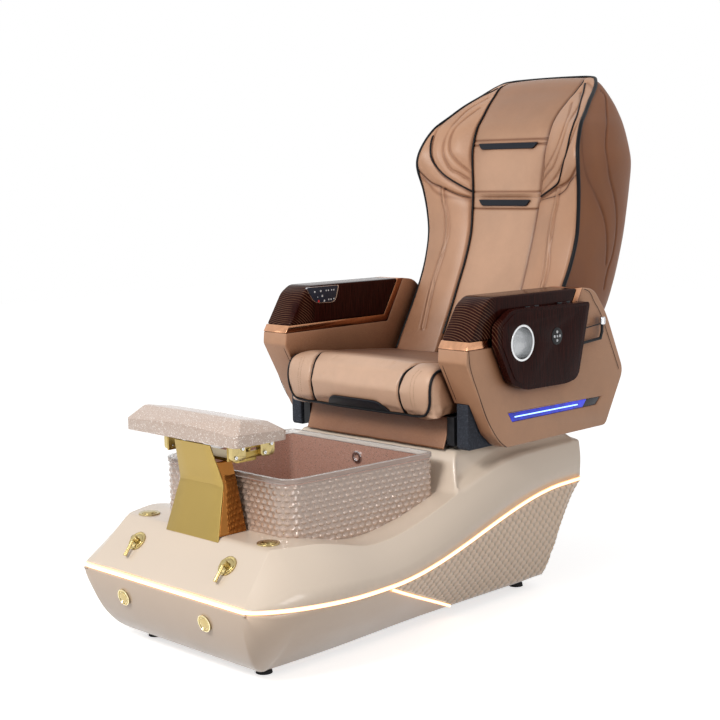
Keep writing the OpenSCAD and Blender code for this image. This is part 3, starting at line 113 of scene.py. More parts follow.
class Line:
    """A smooth line of one value against another, through given knots."""

    def __init__(self, knots: Spots) -> None:
        """Takes the knots as pairs in rising order of the first value."""
        self.xs, self.ys = ([k[i] for k in knots] for i in (0, 1))

    def __call__(self, x: float) -> float:
        """Returns the line's value at x, held at the two ends."""
        xs, ys = self.xs, self.ys
        if x <= xs[0]:
            return ys[0]
        if x >= xs[-1]:
            return ys[-1]
        i = max(k for k in range(len(xs) - 1) if xs[k] <= x)
        h = xs[i + 1] - xs[i]
        t = (x - xs[i]) / h
        slopes = []
        for k in (i, i + 1):
            lo, hi = max(0, k - 1), min(len(xs) - 1, k + 1)
            slopes.append((ys[hi] - ys[lo]) / (xs[hi] - xs[lo]))
        a, b = ys[i], ys[i + 1]
        return (a * (1 + 2 * t) * (1 - t) ** 2 + b * t * t * (3 - 2 * t) + h * slopes[0] * t
            * (1 - t) ** 2 + h * slopes[1] * t * t * (t - 1))


def spline(points: Spots, step: float) -> Path:
    """Runs a smooth curve through points, both ends included.

    Args:
        points: The places it passes, in order.
        step: About how far apart the returned places are.

    Returns:
        The places along the curve.
    """
    pts = [Vector(p) for p in points]
    out = []
    for i in range(len(pts) - 1):
        a, b = pts[max(0, i - 1)], pts[i]
        c, d = pts[i + 1], pts[min(len(pts) - 1, i + 2)]
        n = max(1, round((c - b).length / step))
        for t in (k / n for k in range(n)):
            out.append(0.5 * (2 * b + (c - a) * t + (2 * a - 5 * b + 4 * c - d) * t * t
                + (3 * b - a - 3 * c + d) * t ** 3))
    return [*out, pts[-1]]


def corner(a: Vector, b: Vector, c: Vector, n: int) -> Path:
    """Returns the places of a curve from a to c that bends towards b, in n steps."""
    return [a * (1 - t) ** 2 + b * 2 * t * (1 - t) + c * t * t for t in (k / max(1, n)
        for k in range(n + 1))]


def fillet(points: Spots, cuts: Sequence[float], n: int) -> Path:
    """Rounds the inner corners of a line of points.

    Args:
        points: The corners, first and last kept as they are.
        cuts: How far back each inner corner is cut.
        n: How many steps each rounding takes.

    Returns:
        The rounded line, always with the same number of places.
    """
    pts = [Vector(p) for p in points]
    out = [pts[0]]
    for i in range(1, len(pts) - 1):
        a, b = pts[i - 1] - pts[i], pts[i + 1] - pts[i]
        cut = min(cuts[i - 1], a.length * 0.48, b.length * 0.48)
        out += corner(pts[i] + a.normalized() * cut, pts[i], pts[i] + b.normalized() * cut, n)
    return [*out, pts[-1]]


def round_outline(corners: Spots, n: int = 6) -> list[Vector]:
    """Returns a closed outline whose corners are cut back by a third value and curved."""
    out = []
    for i, (x, y, r) in enumerate(corners):
        c = Vector((x, y))
        p, q = (Vector(corners[k % len(corners)][:2]) - c for k in (i - 1, i + 1))
        out += corner(c + p.normalized() * r, c, c + q.normalized() * r, n if r else 0)
    return out


def even(path: Sequence[Vector], n: int) -> Path:
    """Returns a path divided into n steps of the same length."""
    marks = [0.0]
    for p, q in zip(path, path[1:]):
        marks.append(marks[-1] + (q - p).length)
    out, i = [], 0
    for k in range(n + 1):
        want = marks[-1] * k / n
        while i < len(path) - 2 and marks[i + 1] < want:
            i += 1
        span = marks[i + 1] - marks[i]
        out.append(path[i].lerp(path[i + 1], (want - marks[i]) / span if span else 0.0))
    return out


def heading(path: Sequence[Vector], i: int) -> Vector:
    """Returns the step from the place before one of a path to the place after it."""
    return path[min(len(path) - 1, i + 1)] - path[max(0, i - 1)]


def side_turn(s: int, x: float) -> Matrix:
    """Returns what carries a plate's plane to a side at x, facing the way of s."""
    return Matrix(((0, 0, s, x), (1, 0, 0, 0), (0, 1, 0, 0), (0, 0, 0, 1)))


def facing(place: Vector, out: Vector) -> Matrix:
    """Returns what carries a plate's plane to a place, facing a direction."""
    return Matrix.Translation(place) @ out.to_track_quat("Z", "Y").to_matrix().to_4x4()


# ---- meshes ----

def skin(nu: int, nv: int, place: Callable[[float, float], Sequence[float]]) -> Mesh:
    """Lays a grid over a form.

    Args:
        nu: Steps along the first direction.
        nv: Steps along the second.
        place: Gives a place in millimetres for two shares from 0 to 1.

    Returns:
        The new mesh.
    """
    bm = bmesh.new()
    bm.loops.layers.uv.verify()
    made = bmesh.ops.create_grid(bm, x_segments=nu, y_segments=nv, size=0.5, calc_uvs=True)
    for vert in made["verts"]:
        vert.co = Vector(place(vert.co.x + 0.5, vert.co.y + 0.5)) * MM
    return bm


def skinned(rings: Sequence[Sequence[Vector]], closed: bool = False) -> Mesh:
    """Lays one skin through rings that all have the same number of places.

    Args:
        rings: The rings in order, each open or with its first place repeated at its end.
        closed: Whether doubles are welded and every open loop is filled.

    Returns:
        The new mesh.
    """
    nu, nv = len(rings) - 1, len(rings[0]) - 1
    bm = skin(nu, nv, lambda u, v: rings[round(u * nu)][round(v * nv)])
    if closed:
        bmesh.ops.remove_doubles(bm, verts=bm.verts, dist=WELD)
        rim = [e for e in bm.edges if e.is_boundary]
        if rim:
            bmesh.ops.holes_fill(bm, edges=rim, sides=0)
    return bm


def middle(ring: Sequence[Vector]) -> Vector:
    """Returns the mean place of a ring whose last place is its first."""
    return sum(ring[:-1], Vector()) / (len(ring) - 1)


def capped(rings: list[Path], shares: Sequence[float], hub_of: Callable[[Path],
        Vector] = middle) -> list[Path]:
    """Closes a form's two ends with rings that shrink to a point.

    Args:
        rings: The form's rings.
        shares: Each cap ring's size as a share of the end ring's.
        hub_of: Gives the point for an end ring.

    Returns:
        All rings in order.
    """
    ends = []
    for base in (rings[0], rings[-1]):
        hub = hub_of(base)
        ends.append([[hub + (p - hub) * s for p in base] for s in shares])
    return ends[0][::-1] + rings + ends[1]


def swept(path: Sequence[Vector], profile: Spots, side: Callable[[Vector, Vector],
        Vector]) -> list[Path]:
    """Carries a profile along a path.

    Args:
        path: The places that it passes.
        profile: Places across it, outwards and upwards, in millimetres.
        side: Gives the outward direction for a place and the path's direction there.

    Returns:
        The profile's rings.
    """
    rings = []
    for i, p in enumerate(path):
        along = heading(path, i).normalized()
        out = side(p, along)
        up = out.cross(along)
        up = up if up.z > 0 else -up
        rings.append([p + out * q + up * h for q, h in profile])
    return rings


def tube(bm: Mesh, path: Sequence[Vector], radius: float, sides: int = 8) -> None:
    """Runs a round cord along a path and closes its two ends."""
    rings = []
    side = None
    for i, p in enumerate(path):
        along = heading(path, i).normalized()
        if side is None:
            side = along.orthogonal().normalized()
        side = (side - along * side.dot(along)).normalized()
        up = along.cross(side)
        rings.append([p + (side * c + up * s) * radius for c, s in circle(0, 0, 1, sides, more=1)])
    join(bm, skinned(rings, True))


def join(bm: Mesh, part: Mesh) -> None:
    """Adds a finished part to a mesh and frees the part."""
    bmesh.ops.recalc_face_normals(part, faces=part.faces)
    mesh = bpy.data.meshes.new("part")
    part.to_mesh(mesh)
    part.free()
    bm.from_mesh(mesh)
    bpy.data.meshes.remove(mesh)


def stitch(bm: Mesh, path: Path, outs: Path, pitch: float = 6.0, length: float = 4.2,
        thick: float = 0.55) -> None:
    """Sews a row of threads along a path.

    Args:
        bm: The mesh that gets the threads.
        path: Places on the surface, in order.
        outs: The surface's outward direction at each.
        pitch: Distance from one thread to the next.
        length: Length of a thread.
        thick: Half thickness of a thread.
    """
    left = pitch / 2
    for i in range(len(path) - 1):
        span = path[i + 1] - path[i]
        while left < span.length:
            t = left / span.length
            out = outs[i].lerp(outs[i + 1], t)
            x = span.normalized()
            z = (out - x * out.dot(x)).normalized()
            axes = Matrix((x, z.cross(x), z)).transposed().to_quaternion()
            spot = path[i] + span * t + out.normalized() * thick * 0.4
            bmesh.ops.create_icosphere(bm, subdivisions=1, radius=1.0, matrix=Matrix.LocRotScale(
                spot * MM, axes, Vector((length / 2, thick, thick)) * MM))
            left += pitch
        left -= span.length


def snap(tree: BVHTree, points: Spots, lift: float, step: float = 6.0, calm: int = 4) -> tuple[
        Path, Path]:
    """Lays a smooth line on a surface.

    Args:
        tree: The surface.
        points: Places near it, in millimetres.
        lift: How far the line stands off the surface.
        step: About how far apart the returned places are.
        calm: How many times the line's small kinks are evened out.

    Returns:
        The line's places and the surface's outward directions there.
    """
    path, outs = [], []
    for p in spline(points, step):
        spot, out, _, _ = tree.find_nearest(p * MM)
        path.append(spot / MM)
        outs.append(out)
    for _ in range(calm):
        for row in (path, outs):
            row[1:-1] = [(a + b * 2 + c) / 4 for a, b, c in zip(row, row[1:], row[2:])]
    outs = [out.normalized() for out in outs]
    return [p + out * lift for p, out in zip(path, outs)], outs


def shifted(path: Path, outs: Path, by: float) -> Path:
    """Returns a path moved sideways over its surface."""
    return [p + heading(path, i).cross(outs[i]).normalized() * by for i, p in enumerate(path)]


def copied(node: str) -> Mesh:
    """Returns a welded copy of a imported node's mesh with its flat faces made whole."""
    bm = bmesh.new()
    bm.from_mesh(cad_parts[node].data)
    bmesh.ops.remove_doubles(bm, verts=bm.verts, dist=WELD)
    bmesh.ops.dissolve_limit(bm, angle_limit=radians(1.2), verts=bm.verts, edges=bm.edges)
    return bm


def soften(bm: Mesh, width: float, segments: int = 3, angle: float = 28.0) -> None:
    """Rounds the sharp edges of a mesh.

    Args:
        bm: The mesh.
        width: How wide the rounding is, in millimetres.
        segments: How many steps it takes.
        angle: Edges that turn by more than this many degrees are rounded.
    """
    edges = [e for e in bm.edges if len(e.link_faces) == 2 and e.calc_face_angle(0.0) > radians(
        angle)]
    bmesh.ops.bevel(bm, geom=edges, offset=width * MM, segments=segments, profile=0.5,
        affect="EDGES", material=-1, clamp_overlap=True, loop_slide=True)


def drop_faces(bm: Mesh, gone: Callable[[Vector], bool]) -> None:
    """Takes away the faces whose middle, in millimetres, answers to a rule."""
    faces = [f for f in bm.faces if gone(f.calc_center_median() / MM)]
    bmesh.ops.delete(bm, geom=faces, context="FACES")


def plate(bm: Mesh, outline: Spots, turn: Matrix, thick: float, edge: float = 0.0) -> None:
    """Adds a flat plate of an outline.

    Args:
        bm: The mesh that gets it.
        outline: Its corners in its own plane, in millimetres.
        turn: Carries its plane and upward direction to their place, in millimetres.
        thick: Its thickness.
        edge: How wide its upper edge is rounded.
    """
    part = bmesh.new()
    verts = [bmesh.ops.create_vert(part, co=turn @ Vector((x, y, 0)) * MM)["vert"][0] for x,
        y in outline]
    face = bmesh.ops.contextual_create(part, geom=verts)["faces"]
    raised = bmesh.ops.extrude_face_region(part, geom=face, use_keep_orig=True)["geom"]
    lift = (turn.to_3x3() @ Vector((0, 0, thick))) * MM
    top = [g for g in raised if isinstance(g, bmesh.types.BMVert)]
    bmesh.ops.translate(part, vec=lift, verts=top)
    if edge:
        rim = [g for g in raised if isinstance(g, bmesh.types.BMEdge)]
        bmesh.ops.bevel(part, geom=rim, offset=edge * MM, segments=3, profile=0.5, affect="EDGES",
            material=-1, clamp_overlap=True)
    join(bm, part)


class Seams:
    """Sewn lines that press into a surface, with the cover swelling between them."""

    def __init__(self, lines: Sequence[Spots], depth: float = 2.6, width: float = 3.2,
            puff: float = 2.0, reach: float = 22.0) -> None:
        """Takes the lines and how they press.

        Args:
            lines: Places along each line, in millimetres.
            depth: How deep a line presses in.
            width: How wide its groove is.
            puff: How far the cover swells well away from any line.
            reach: How far from a line the swelling takes to grow.
        """
        spots = [p for line in lines for p in spline(line, 2.0)]
        self.tree = KDTree(len(spots))
        for i, p in enumerate(spots):
            self.tree.insert(p, i)
        self.tree.balance()
        self.depth, self.width, self.puff, self.reach = depth, width, puff, reach

    def lift(self, p: Vector) -> float:
        """Returns how far the surface stands out at a place, negative in a groove."""
        far = self.tree.find(p)[2]
        return (self.puff * (1 - bell(far, self.reach)) - self.depth * bell(far, self.width))


class Pads:
    """Keeps what the padded pieces have in common."""

    VOXEL = 0.006
    FRAMES = 14

    @staticmethod
    def stuffed(bm: Mesh, shrink: float, pressure: float, cap: float) -> Mesh:
        """Returns a closed cover meshed evenly and blown up as a stuffed one.

        Args:
            bm: The cover, freed here.
            shrink: How much smaller it is cut, in millimetres.
            pressure: How hard it is filled.
            cap: How far any point may move, in millimetres.

        Returns:
            The stuffed cover's mesh.
        """
        bmesh.ops.remove_doubles(bm, verts=bm.verts, dist=WELD)
        bmesh.ops.recalc_face_normals(bm, faces=bm.faces)
        bm.normal_update()
        for vert in bm.verts:
            vert.co -= vert.normal * shrink * MM
        mesh = bpy.data.meshes.new("cover")
        bm.to_mesh(mesh)
        bm.free()
        obj = placed("cover", mesh)
        grid = obj.modifiers.new("grid", "REMESH")
        grid.mode, grid.voxel_size = "VOXEL", Pads.VOXEL
        settle(obj)
        Pads.puff(obj, pressure, cap)
        round_off = obj.modifiers.new("round_off", "SUBSURF")
        round_off.levels = round_off.render_levels = 1
        settle(obj)
        out = bmesh.new()
        out.from_mesh(obj.data)
        bpy.data.objects.remove(obj)
        return out

    @staticmethod
    def puff(obj: Piece, pressure: float, cap: float) -> None:
        """Blows a closed cover up as a stuffed one, and keeps the result.

        Args:
            obj: The cover's object.
            pressure: How hard it is filled.
            cap: How far any point may move, in millimetres.
        """
        start = [v.co.copy() for v in obj.data.vertices]
        cloth = obj.modifiers.new("stuffing", "CLOTH")
        cloth.settings.use_pressure = True
        cloth.settings.uniform_pressure_force = pressure
        cloth.settings.effector_weights.gravity = 0.0
        scene = bpy.context.scene
        cloth.point_cache.frame_start, cloth.point_cache.frame_end = 1, Pads.FRAMES
        for k in range(1, Pads.FRAMES + 1):
            scene.frame_set(k)
        shown = obj.evaluated_get(bpy.context.evaluated_depsgraph_get())
        ends = [v.co.copy() for v in shown.data.vertices]
        obj.modifiers.remove(cloth)
        scene.frame_set(1)
        for vert, a, b in zip(obj.data.vertices, start, ends):
            move = b - a
            if move.length > cap * MM:
                move.length = cap * MM
            vert.co = a + move


# ---- shader nodes ----

def linear(colour: Colour) -> tuple[float, float, float, float]:
    """Returns a display colour of 0 to 255 as the linear one that shaders use."""
    parts = [c / 255 for c in colour]
    return (*[p / 12.92 if p <= 0.04045 else ((p + 0.055) / 1.055) ** 2.4 for p in parts], 1.0)


class Effect(Enum):
    """The shader groups that several finishes share."""

    HIDE = "hide_grain"
    FLECK = "metal_fleck"
    TIMBER = "timber_figure"
    BRUSH = "brushed_lines"
    # Rubbed edges, partly a painted edge highlight.
    WEAR = "edge_wear"
    DUST = "dust_film"


class Nodes:
    """A short way to add and join the nodes of one tree.

    In wires, each input that is set has a constant or another node's socket.
    """

    def __init__(self, tree: Tree) -> None:
        """Takes the tree that gets the nodes."""
        self.tree = tree

    @classmethod
    def of(cls, owner: bpy.types.ID) -> "Nodes":
        """Returns the node maker of a material or world, emptied."""
        owner.use_nodes = True
        owner.node_tree.nodes.clear()
        return cls(owner.node_tree)

    def feed(self, node: Node, wires: Wires) -> None:
        """Sets or links a node's inputs."""
        for key, value in wires.items():
            if isinstance(value, Wire):
                self.tree.links.new(value, node.inputs[key])
            else:
                node.inputs[key].default_value = value

    def add(self, kind: str, wires: Wires, **words: object) -> Node:
        """Adds a node.

        Args:
            kind: Its type, without Blender's own prefix.
            wires: Its inputs.
            **words: Settings of the node itself.

        Returns:
            The new node.
        """
        node = self.tree.nodes.new("ShaderNode" + kind)
        for key, value in words.items():
            setattr(node, key, value)
        self.feed(node, wires)
        return node

    def math(self, sort: str, a: object, b: object = 0.0) -> Wire:
        """Returns the result of one Math node."""
        return self.add("Math", {0: a, 1: b}, operation=sort).outputs[0]

    def times(self, a: object, b: object) -> Wire:
        """Returns the product of two values."""
        return self.math("MULTIPLY", a, b)

    def vector(self, sort: str, a: object, b: object) -> Node:
        """Returns one Vector Math node."""
        return self.add("VectorMath", {0: a, 1: b}, operation=sort)

    def split(self, place: object) -> Sequence[Wire]:
        """Returns the three parts of a vector."""
        return self.add("SeparateXYZ", {0: place}).outputs

    def noise(self, place: Wire, scale: float, detail: float, **more: float) -> Wire:
        """Returns the level of a noise."""
        return self.add("TexNoise", {"Vector": place, "Scale": scale, "Detail": detail,
            **more}).outputs[0]

    def bump(self, height: Wire, strength: float, distance: float) -> Wire:
        """Returns the normal of a small relief."""
        return self.add("Bump", {"Height": height, "Strength": strength,
            "Distance": distance}).outputs[0]

    def hollow_shade(self, reach: float, lo: float, hi: float, level: float) -> Wire:
        """Returns a level of painted shade that falls where the sky is hidden within a reach."""
        sky = self.add("AmbientOcclusion", {"Distance": reach}, samples=4).outputs["AO"]
        return self.span(sky, lo, hi, level, 1.0)

    def relief_shade(self) -> Wire:
        """Returns the piece's own relief, 0 where it lies deep and 1 where it stands out, which the
        finishes read as a mask of painted shade.
        """
        return self.add("Attribute", {}, attribute_name="relief_shade").outputs["Fac"]

    def mixed(self, level: Wire, tone: object) -> Wire:
        """Returns a colour darkened by a level from 0 to 1, warmer as it darkens."""
        shade = self.add("CombineXYZ", {0: level, 1: self.math("POWER", level, 1.34),
            2: self.math("POWER", level, 1.64)})
        return self.vector("MULTIPLY", tone, shade.outputs[0]).outputs[0]

    def blend(self, share: object, a: object, b: object) -> Wire:
        """Returns a mix of two colours."""
        return self.add("Mix", {0: share, 6: a, 7: b}, data_type="RGBA").outputs[2]

    def span(self, value: object, lo: float, hi: float, to_lo: float = 0.0,
            to_hi: float = 1.0) -> Wire:
        """Returns a value carried from one range to another, held at its ends."""
        return self.add("MapRange", {0: value, 1: lo, 2: hi, 3: to_lo, 4: to_hi}).outputs[0]

    def effect(self, effect: Effect, place: Wire, **values: float) -> dict[str, Wire]:
        """Places a shared group and returns its outputs by name."""
        node = self.add("Group", {}, node_tree=EffectShop.get(effect))
        self.feed(node, {"Vector": place, **values})
        return {s.name: s for s in node.outputs}


class EffectShop:
    """Builds each shared shader group once."""

    built: dict[Effect, Tree] = {}
    INPUTS = {Effect.HIDE: {"Grain": 900.0, "Folds": 1.0}, Effect.TIMBER: {}, Effect.BRUSH: {},
        Effect.FLECK: {"Scale": 700.0, "Share": 0.3}, Effect.WEAR: {"Amount": 0.5},
        Effect.DUST: {"Amount": 0.1}}

    @classmethod
    def get(cls, effect: Effect) -> Tree:
        """Returns the group of an effect, made on its first use."""
        if effect not in cls.built:
            tree = bpy.data.node_groups.new(effect.value, "ShaderNodeTree")
            sockets = tree.interface
            sockets.new_socket("Vector", in_out="INPUT", socket_type="NodeSocketVector")
            for name, default in cls.INPUTS[effect].items():
                sockets.new_socket(name, in_out="INPUT",
                    socket_type="NodeSocketFloat").default_value = default
            start = tree.nodes.new("NodeGroupInput").outputs
            n = Nodes(tree)
            made = getattr(cls, effect.name.lower())(n, start["Vector"], start)
            for name in made:
                sockets.new_socket(name, in_out="OUTPUT", socket_type="NodeSocketFloat")
            n.feed(tree.nodes.new("NodeGroupOutput"), made)
            cls.built[effect] = tree
        return cls.built[effect]

    @staticmethod
    def hide(n: Nodes, place: Wire, own: dict[str, Wire]) -> Wires:
        """Returns the pebbled grain, soft folds and cloudy tone of upholstery hide."""
        cells = n.add("TexVoronoi", {"Vector": place, "Scale": own["Grain"]},
            feature="SMOOTH_F1").outputs["Distance"]
        fold = n.noise(place, 26.0, 3.0, Distortion=1.4)
        crease = n.times(n.span(fold, 0.42, 0.6), own["Folds"])
        rough = n.times(n.noise(place, 2400.0, 2.0), 0.08)
        height = n.math("ADD", n.math("ADD", n.times(cells, -0.35), rough), crease)
        cloud = n.noise(place, 7.0, 4.0, Roughness=0.6)
        return {"Height": height, "Cloud": n.span(cloud, 0.3, 0.7)}

    @staticmethod
    def fleck(n: Nodes, place: Wire, own: dict[str, Wire]) -> Wires:
        """Returns the scattered flakes of a glitter coat."""
        flake = n.add("TexVoronoi", {"Vector": place, "Scale": own["Scale"]}, feature="F1")
        apart = n.add("SeparateColor", {0: flake.outputs["Color"]}).outputs
        body = n.math("LESS_THAN", flake.outputs["Distance"], 0.42)
        kept = n.math("LESS_THAN", apart[0], own["Share"])
        return {"Mask": n.times(body, kept), "Tone": apart[1], "Height": apart[2]}

    @staticmethod
    def timber(n: Nodes, place: Wire, own: dict[str, Wire]) -> Wires:
        """Returns fine upright pores and the pale watered lines of a rolled veneer."""
        long = n.vector("MULTIPLY", place, (520.0, 520.0, 22.0)).outputs[0]
        pore = n.noise(long, 1.0, 5.0, Roughness=0.65)
        both = n.add("VectorMath", {0: place}, operation="ABSOLUTE").outputs[0]
        hub = n.vector("ADD", both, (-0.31, -0.15, -0.66)).outputs[0]
        ring = n.add("TexWave", {"Vector": hub, "Scale": 44.0, "Distortion": 4.5, "Detail": 1.0,
            "Detail Scale": 0.3}, wave_type="RINGS", rings_direction="SPHERICAL").outputs[1]
        return {"Grain": n.span(pore, 0.35, 0.68), "Figure": n.span(ring, 0.76, 1.0)}

    @staticmethod
    def brush(n: Nodes, place: Wire, own: dict[str, Wire]) -> Wires:
        """Returns the fine lines that a polishing wheel leaves along the part's height."""
        long = n.vector("MULTIPLY", place, (900.0, 900.0, 14.0)).outputs[0]
        return {"Lines": n.noise(long, 1.0, 3.0), "Cloud": n.noise(place, 14.0, 3.0)}

    @staticmethod
    def wear(n: Nodes, place: Wire, own: dict[str, Wire]) -> Wires:
        """Returns where edges stand out: rubbed edges, partly a painted edge highlight."""
        edge = n.span(n.add("NewGeometry", {}).outputs["Pointiness"], 0.51, 0.57)
        mask = n.times(edge, n.span(n.noise(place, 60.0, 4.0), 0.35, 0.7))
        return {"Mask": n.times(mask, own["Amount"])}

    @staticmethod
    def dust(n: Nodes, place: Wire, own: dict[str, Wire]) -> Wires:
        """Returns a thin uneven film of dust and handling."""
        patch = n.noise(place, 9.0, 6.0, Roughness=0.7)
        return {"Mask": n.times(n.span(patch, 0.4, 0.8), own["Amount"])}


# ---- finishes ----

@dataclass(frozen=True)
class Finish:
    """A surface finish: its name, the record's slot and its main colour."""

    name: str
    slot: str
    colour: Colour
    rough: float = 0.4

    made = {}

    def material(self) -> bpy.types.Material:
        """Returns the finish's material, made on its first use."""
        if self.name not in Finish.made:
            mat = bpy.data.materials.new(self.name)
            n = Nodes.of(mat)
            shader = n.add("BsdfPrincipled", {"Roughness": self.rough, "Base Color": linear(
                self.colour)})
            n.add("OutputMaterial", {"Surface": shader.outputs[0]})
            n.feed(shader, self.dress(n, n.add("TexCoord", {}).outputs["Object"]))
            Finish.made[self.name] = mat
        return Finish.made[self.name]

    def dress(self, n: Nodes, place: Wire) -> Wires:
        """Gives what the finish has beyond its colour.

        Args:
            n: The material's node maker.
            place: The piece's own coordinates, in metres.

        Returns:
            The inputs of its Principled shader.
        """
        raise NotImplementedError

    def tinted(self, factor: float) -> tuple[float, float, float, float]:
        """Returns the main colour made lighter or darker."""
        r, g, b, a = linear(self.colour)
        return (min(1, r * factor), min(1, g * factor), min(1, b * factor), a)


@dataclass(frozen=True)
class GelCoat(Finish):
    """Glossy moulded shell."""

    coat: float = 0.5
    # How dark the painted shade gets where the stored relief is lowest; 1 for none.
    deep: float = 1.0

    def dress(self, n: Nodes, place: Wire) -> Wires:
        """Gives faint waves, dust, lighter rubbed edges that are partly a painted edge highlight,
        and painted shade where the relief is low, under a clear coat.
        """
        dust = n.effect(Effect.DUST, place, Amount=0.16)["Mask"]
        wear = n.effect(Effect.WEAR, place, Amount=0.35)["Mask"]
        tone = n.blend(dust, self.tinted(1.0), self.tinted(0.9))
        # Lighter rubbed edges, partly a painted edge highlight.
        tone = n.blend(wear, tone, self.tinted(1.12))
        # Painted shade: darker where the stored relief is low.
        if self.deep < 1:
            tone = n.blend(n.relief_shade(), self.tinted(self.deep), tone)
        return {"Base Color": tone, "Normal": n.bump(n.noise(place, 420.0, 2.0), 0.05, 0.0004),
            "Roughness": n.span(dust, 0.0, 0.16, self.rough, self.rough + 0.12),
            "Coat Weight": self.coat, "Coat Roughness": 0.08}


@dataclass(frozen=True)
class Leather(Finish):
    """Smooth-grained upholstery leather."""

    grain: float = 900.0
    folds: float = 0.25
    depth: float = 0.0007
    gloss: float = 0.5
    # How dark the painted shade gets where the stored relief is lowest; 1 for none.
    deep: float = 1.0

    def dress(self, n: Nodes, place: Wire) -> Wires:
        """Gives grain, soft folds, cloudy tone, lighter rubbed edges that are partly a painted edge
        highlight, painted shade where the relief is low and in hollows, and a low sheen.
        """
        hide = n.effect(Effect.HIDE, place, Grain=self.grain, Folds=self.folds)
        wear = n.effect(Effect.WEAR, place, Amount=0.3)["Mask"]
        tone = n.blend(hide["Cloud"], self.tinted(0.92), self.tinted(1.08))
        # Lighter rubbed edges, partly a painted edge highlight.
        tone = n.blend(wear, tone, self.tinted(1.3))
        # Painted shade: darker and warmer where the stored relief is low.
        if self.deep < 1:
            tone = n.mixed(n.span(n.relief_shade(), 0.0, 1.0, self.deep, 1.0), tone)
        # Painted shade: darker in hollows where other parts hide the sky, over a wide and a close
        # reach.
        for reach, level in ((0.24, 0.24), (0.02, 0.42)):
            tone = n.mixed(n.hollow_shade(reach, 0.35, 0.92, level), tone)
        return {"Base Color": tone, "Normal": n.bump(hide["Height"], 0.35, self.depth),
            "Roughness": n.span(hide["Cloud"], 0.0, 1.0, self.rough - 0.05, self.rough + 0.07),
            "Sheen Weight": 0.04, "Specular IOR Level": self.gloss}


@dataclass(frozen=True)
class Glitter(Finish):
    """Resin or vinyl filled with fine metal flakes."""

    flake: Colour = (240, 220, 205)
    dark: Colour = (120, 85, 75)
    scale: float = 750.0
    coat: float = 0.6
    # How dark the painted shade gets where the stored relief is lowest; 1 for none.
    deep: float = 1.0

    def dress(self, n: Nodes, place: Wire) -> Wires:
        """Gives light and dark flakes of two sizes, painted shade where the relief is low, and a
        clear coat.
        """
        fine = n.effect(Effect.FLECK, place, Scale=self.scale, Share=0.42)
        big = n.effect(Effect.FLECK, place, Scale=self.scale * 0.45, Share=0.2)["Mask"]
        shade = n.blend(fine["Tone"], linear(self.dark), linear(self.flake))
        tone = n.blend(n.times(fine["Mask"], 0.85), linear(self.colour), shade)
        tone = n.blend(n.times(big, 0.75), tone, linear(self.flake))
        # Painted shade: darker where the stored relief is low.
        if self.deep < 1:
            tone = n.blend(n.relief_shade(), self.tinted(self.deep), tone)
        return {"Base Color": tone, "Metallic": n.times(big, 0.7), "Roughness": n.span(
            fine["Mask"], 0.0, 1.0, self.rough, self.rough - 0.15), "Normal": n.bump(
            fine["Height"], 0.25, 0.0003), "Coat Weight": self.coat, "Coat Roughness": 0.05}


@dataclass(frozen=True)
class Metal(Finish):
    """Polished, brushed or plated metal."""

    lines: float = 0.2
    spread: float = 0.1
    # How dark the painted shade in hollows gets; 1 for none.
    hollow_shade: float = 1.0

    def dress(self, n: Nodes, place: Wire) -> Wires:
        """Gives polishing lines, cloudy tone, bright rubbed edges that are partly a painted edge
        highlight, and painted shade in hollows where asked.
        """
        brush = n.effect(Effect.BRUSH, place)
        wear = n.effect(Effect.WEAR, place, Amount=0.5)["Mask"]
        tone = n.blend(brush["Cloud"], self.tinted(1 - self.spread), self.tinted(1 + self.spread))
        # Bright rubbed edges, partly a painted edge highlight.
        tone = n.blend(wear, tone, self.tinted(1.5))
        # Painted shade: darker in hollows where other parts hide the sky.
        if self.hollow_shade < 1:
            tone = n.mixed(n.hollow_shade(0.3, 0.45, 0.95, self.hollow_shade), tone)
        return {"Base Color": tone, "Metallic": 1.0, "Roughness": n.span(brush["Lines"], 0.3, 0.7,
            self.rough, self.rough + self.lines), "Normal": n.bump(brush["Lines"],
            0.02 + self.lines * 0.2, 0.0001)}


@dataclass(frozen=True)
class Plastic(Finish):
    """Matt moulded plastic, rubber or powder coat."""

    texture: float = 1500.0
    depth: float = 0.0002
    speck: float = 0.0

    def dress(self, n: Nodes, place: Wire) -> Wires:
        """Gives a moulded texture, light specks, dust and lighter rubbed edges that are partly a
        painted edge highlight.
        """
        fine = n.noise(place, self.texture, 3.0)
        dust = n.effect(Effect.DUST, place, Amount=0.35)["Mask"]
        wear = n.effect(Effect.WEAR, place, Amount=0.6)["Mask"]
        fleck = n.effect(Effect.FLECK, place, Scale=self.texture * 0.6, Share=0.35)["Mask"]
        tone = n.blend(dust, self.tinted(1.0), self.tinted(1.45))
        tone = n.blend(n.times(fleck, self.speck), tone, self.tinted(3.2))
        # Lighter rubbed edges, partly a painted edge highlight.
        return {"Base Color": n.blend(wear, tone, self.tinted(2.2)), "Roughness": n.span(fine, 0.3,
            0.7, self.rough - 0.06, self.rough + 0.1), "Normal": n.bump(fine, 0.3, self.depth),
            "Specular IOR Level": 0.25}


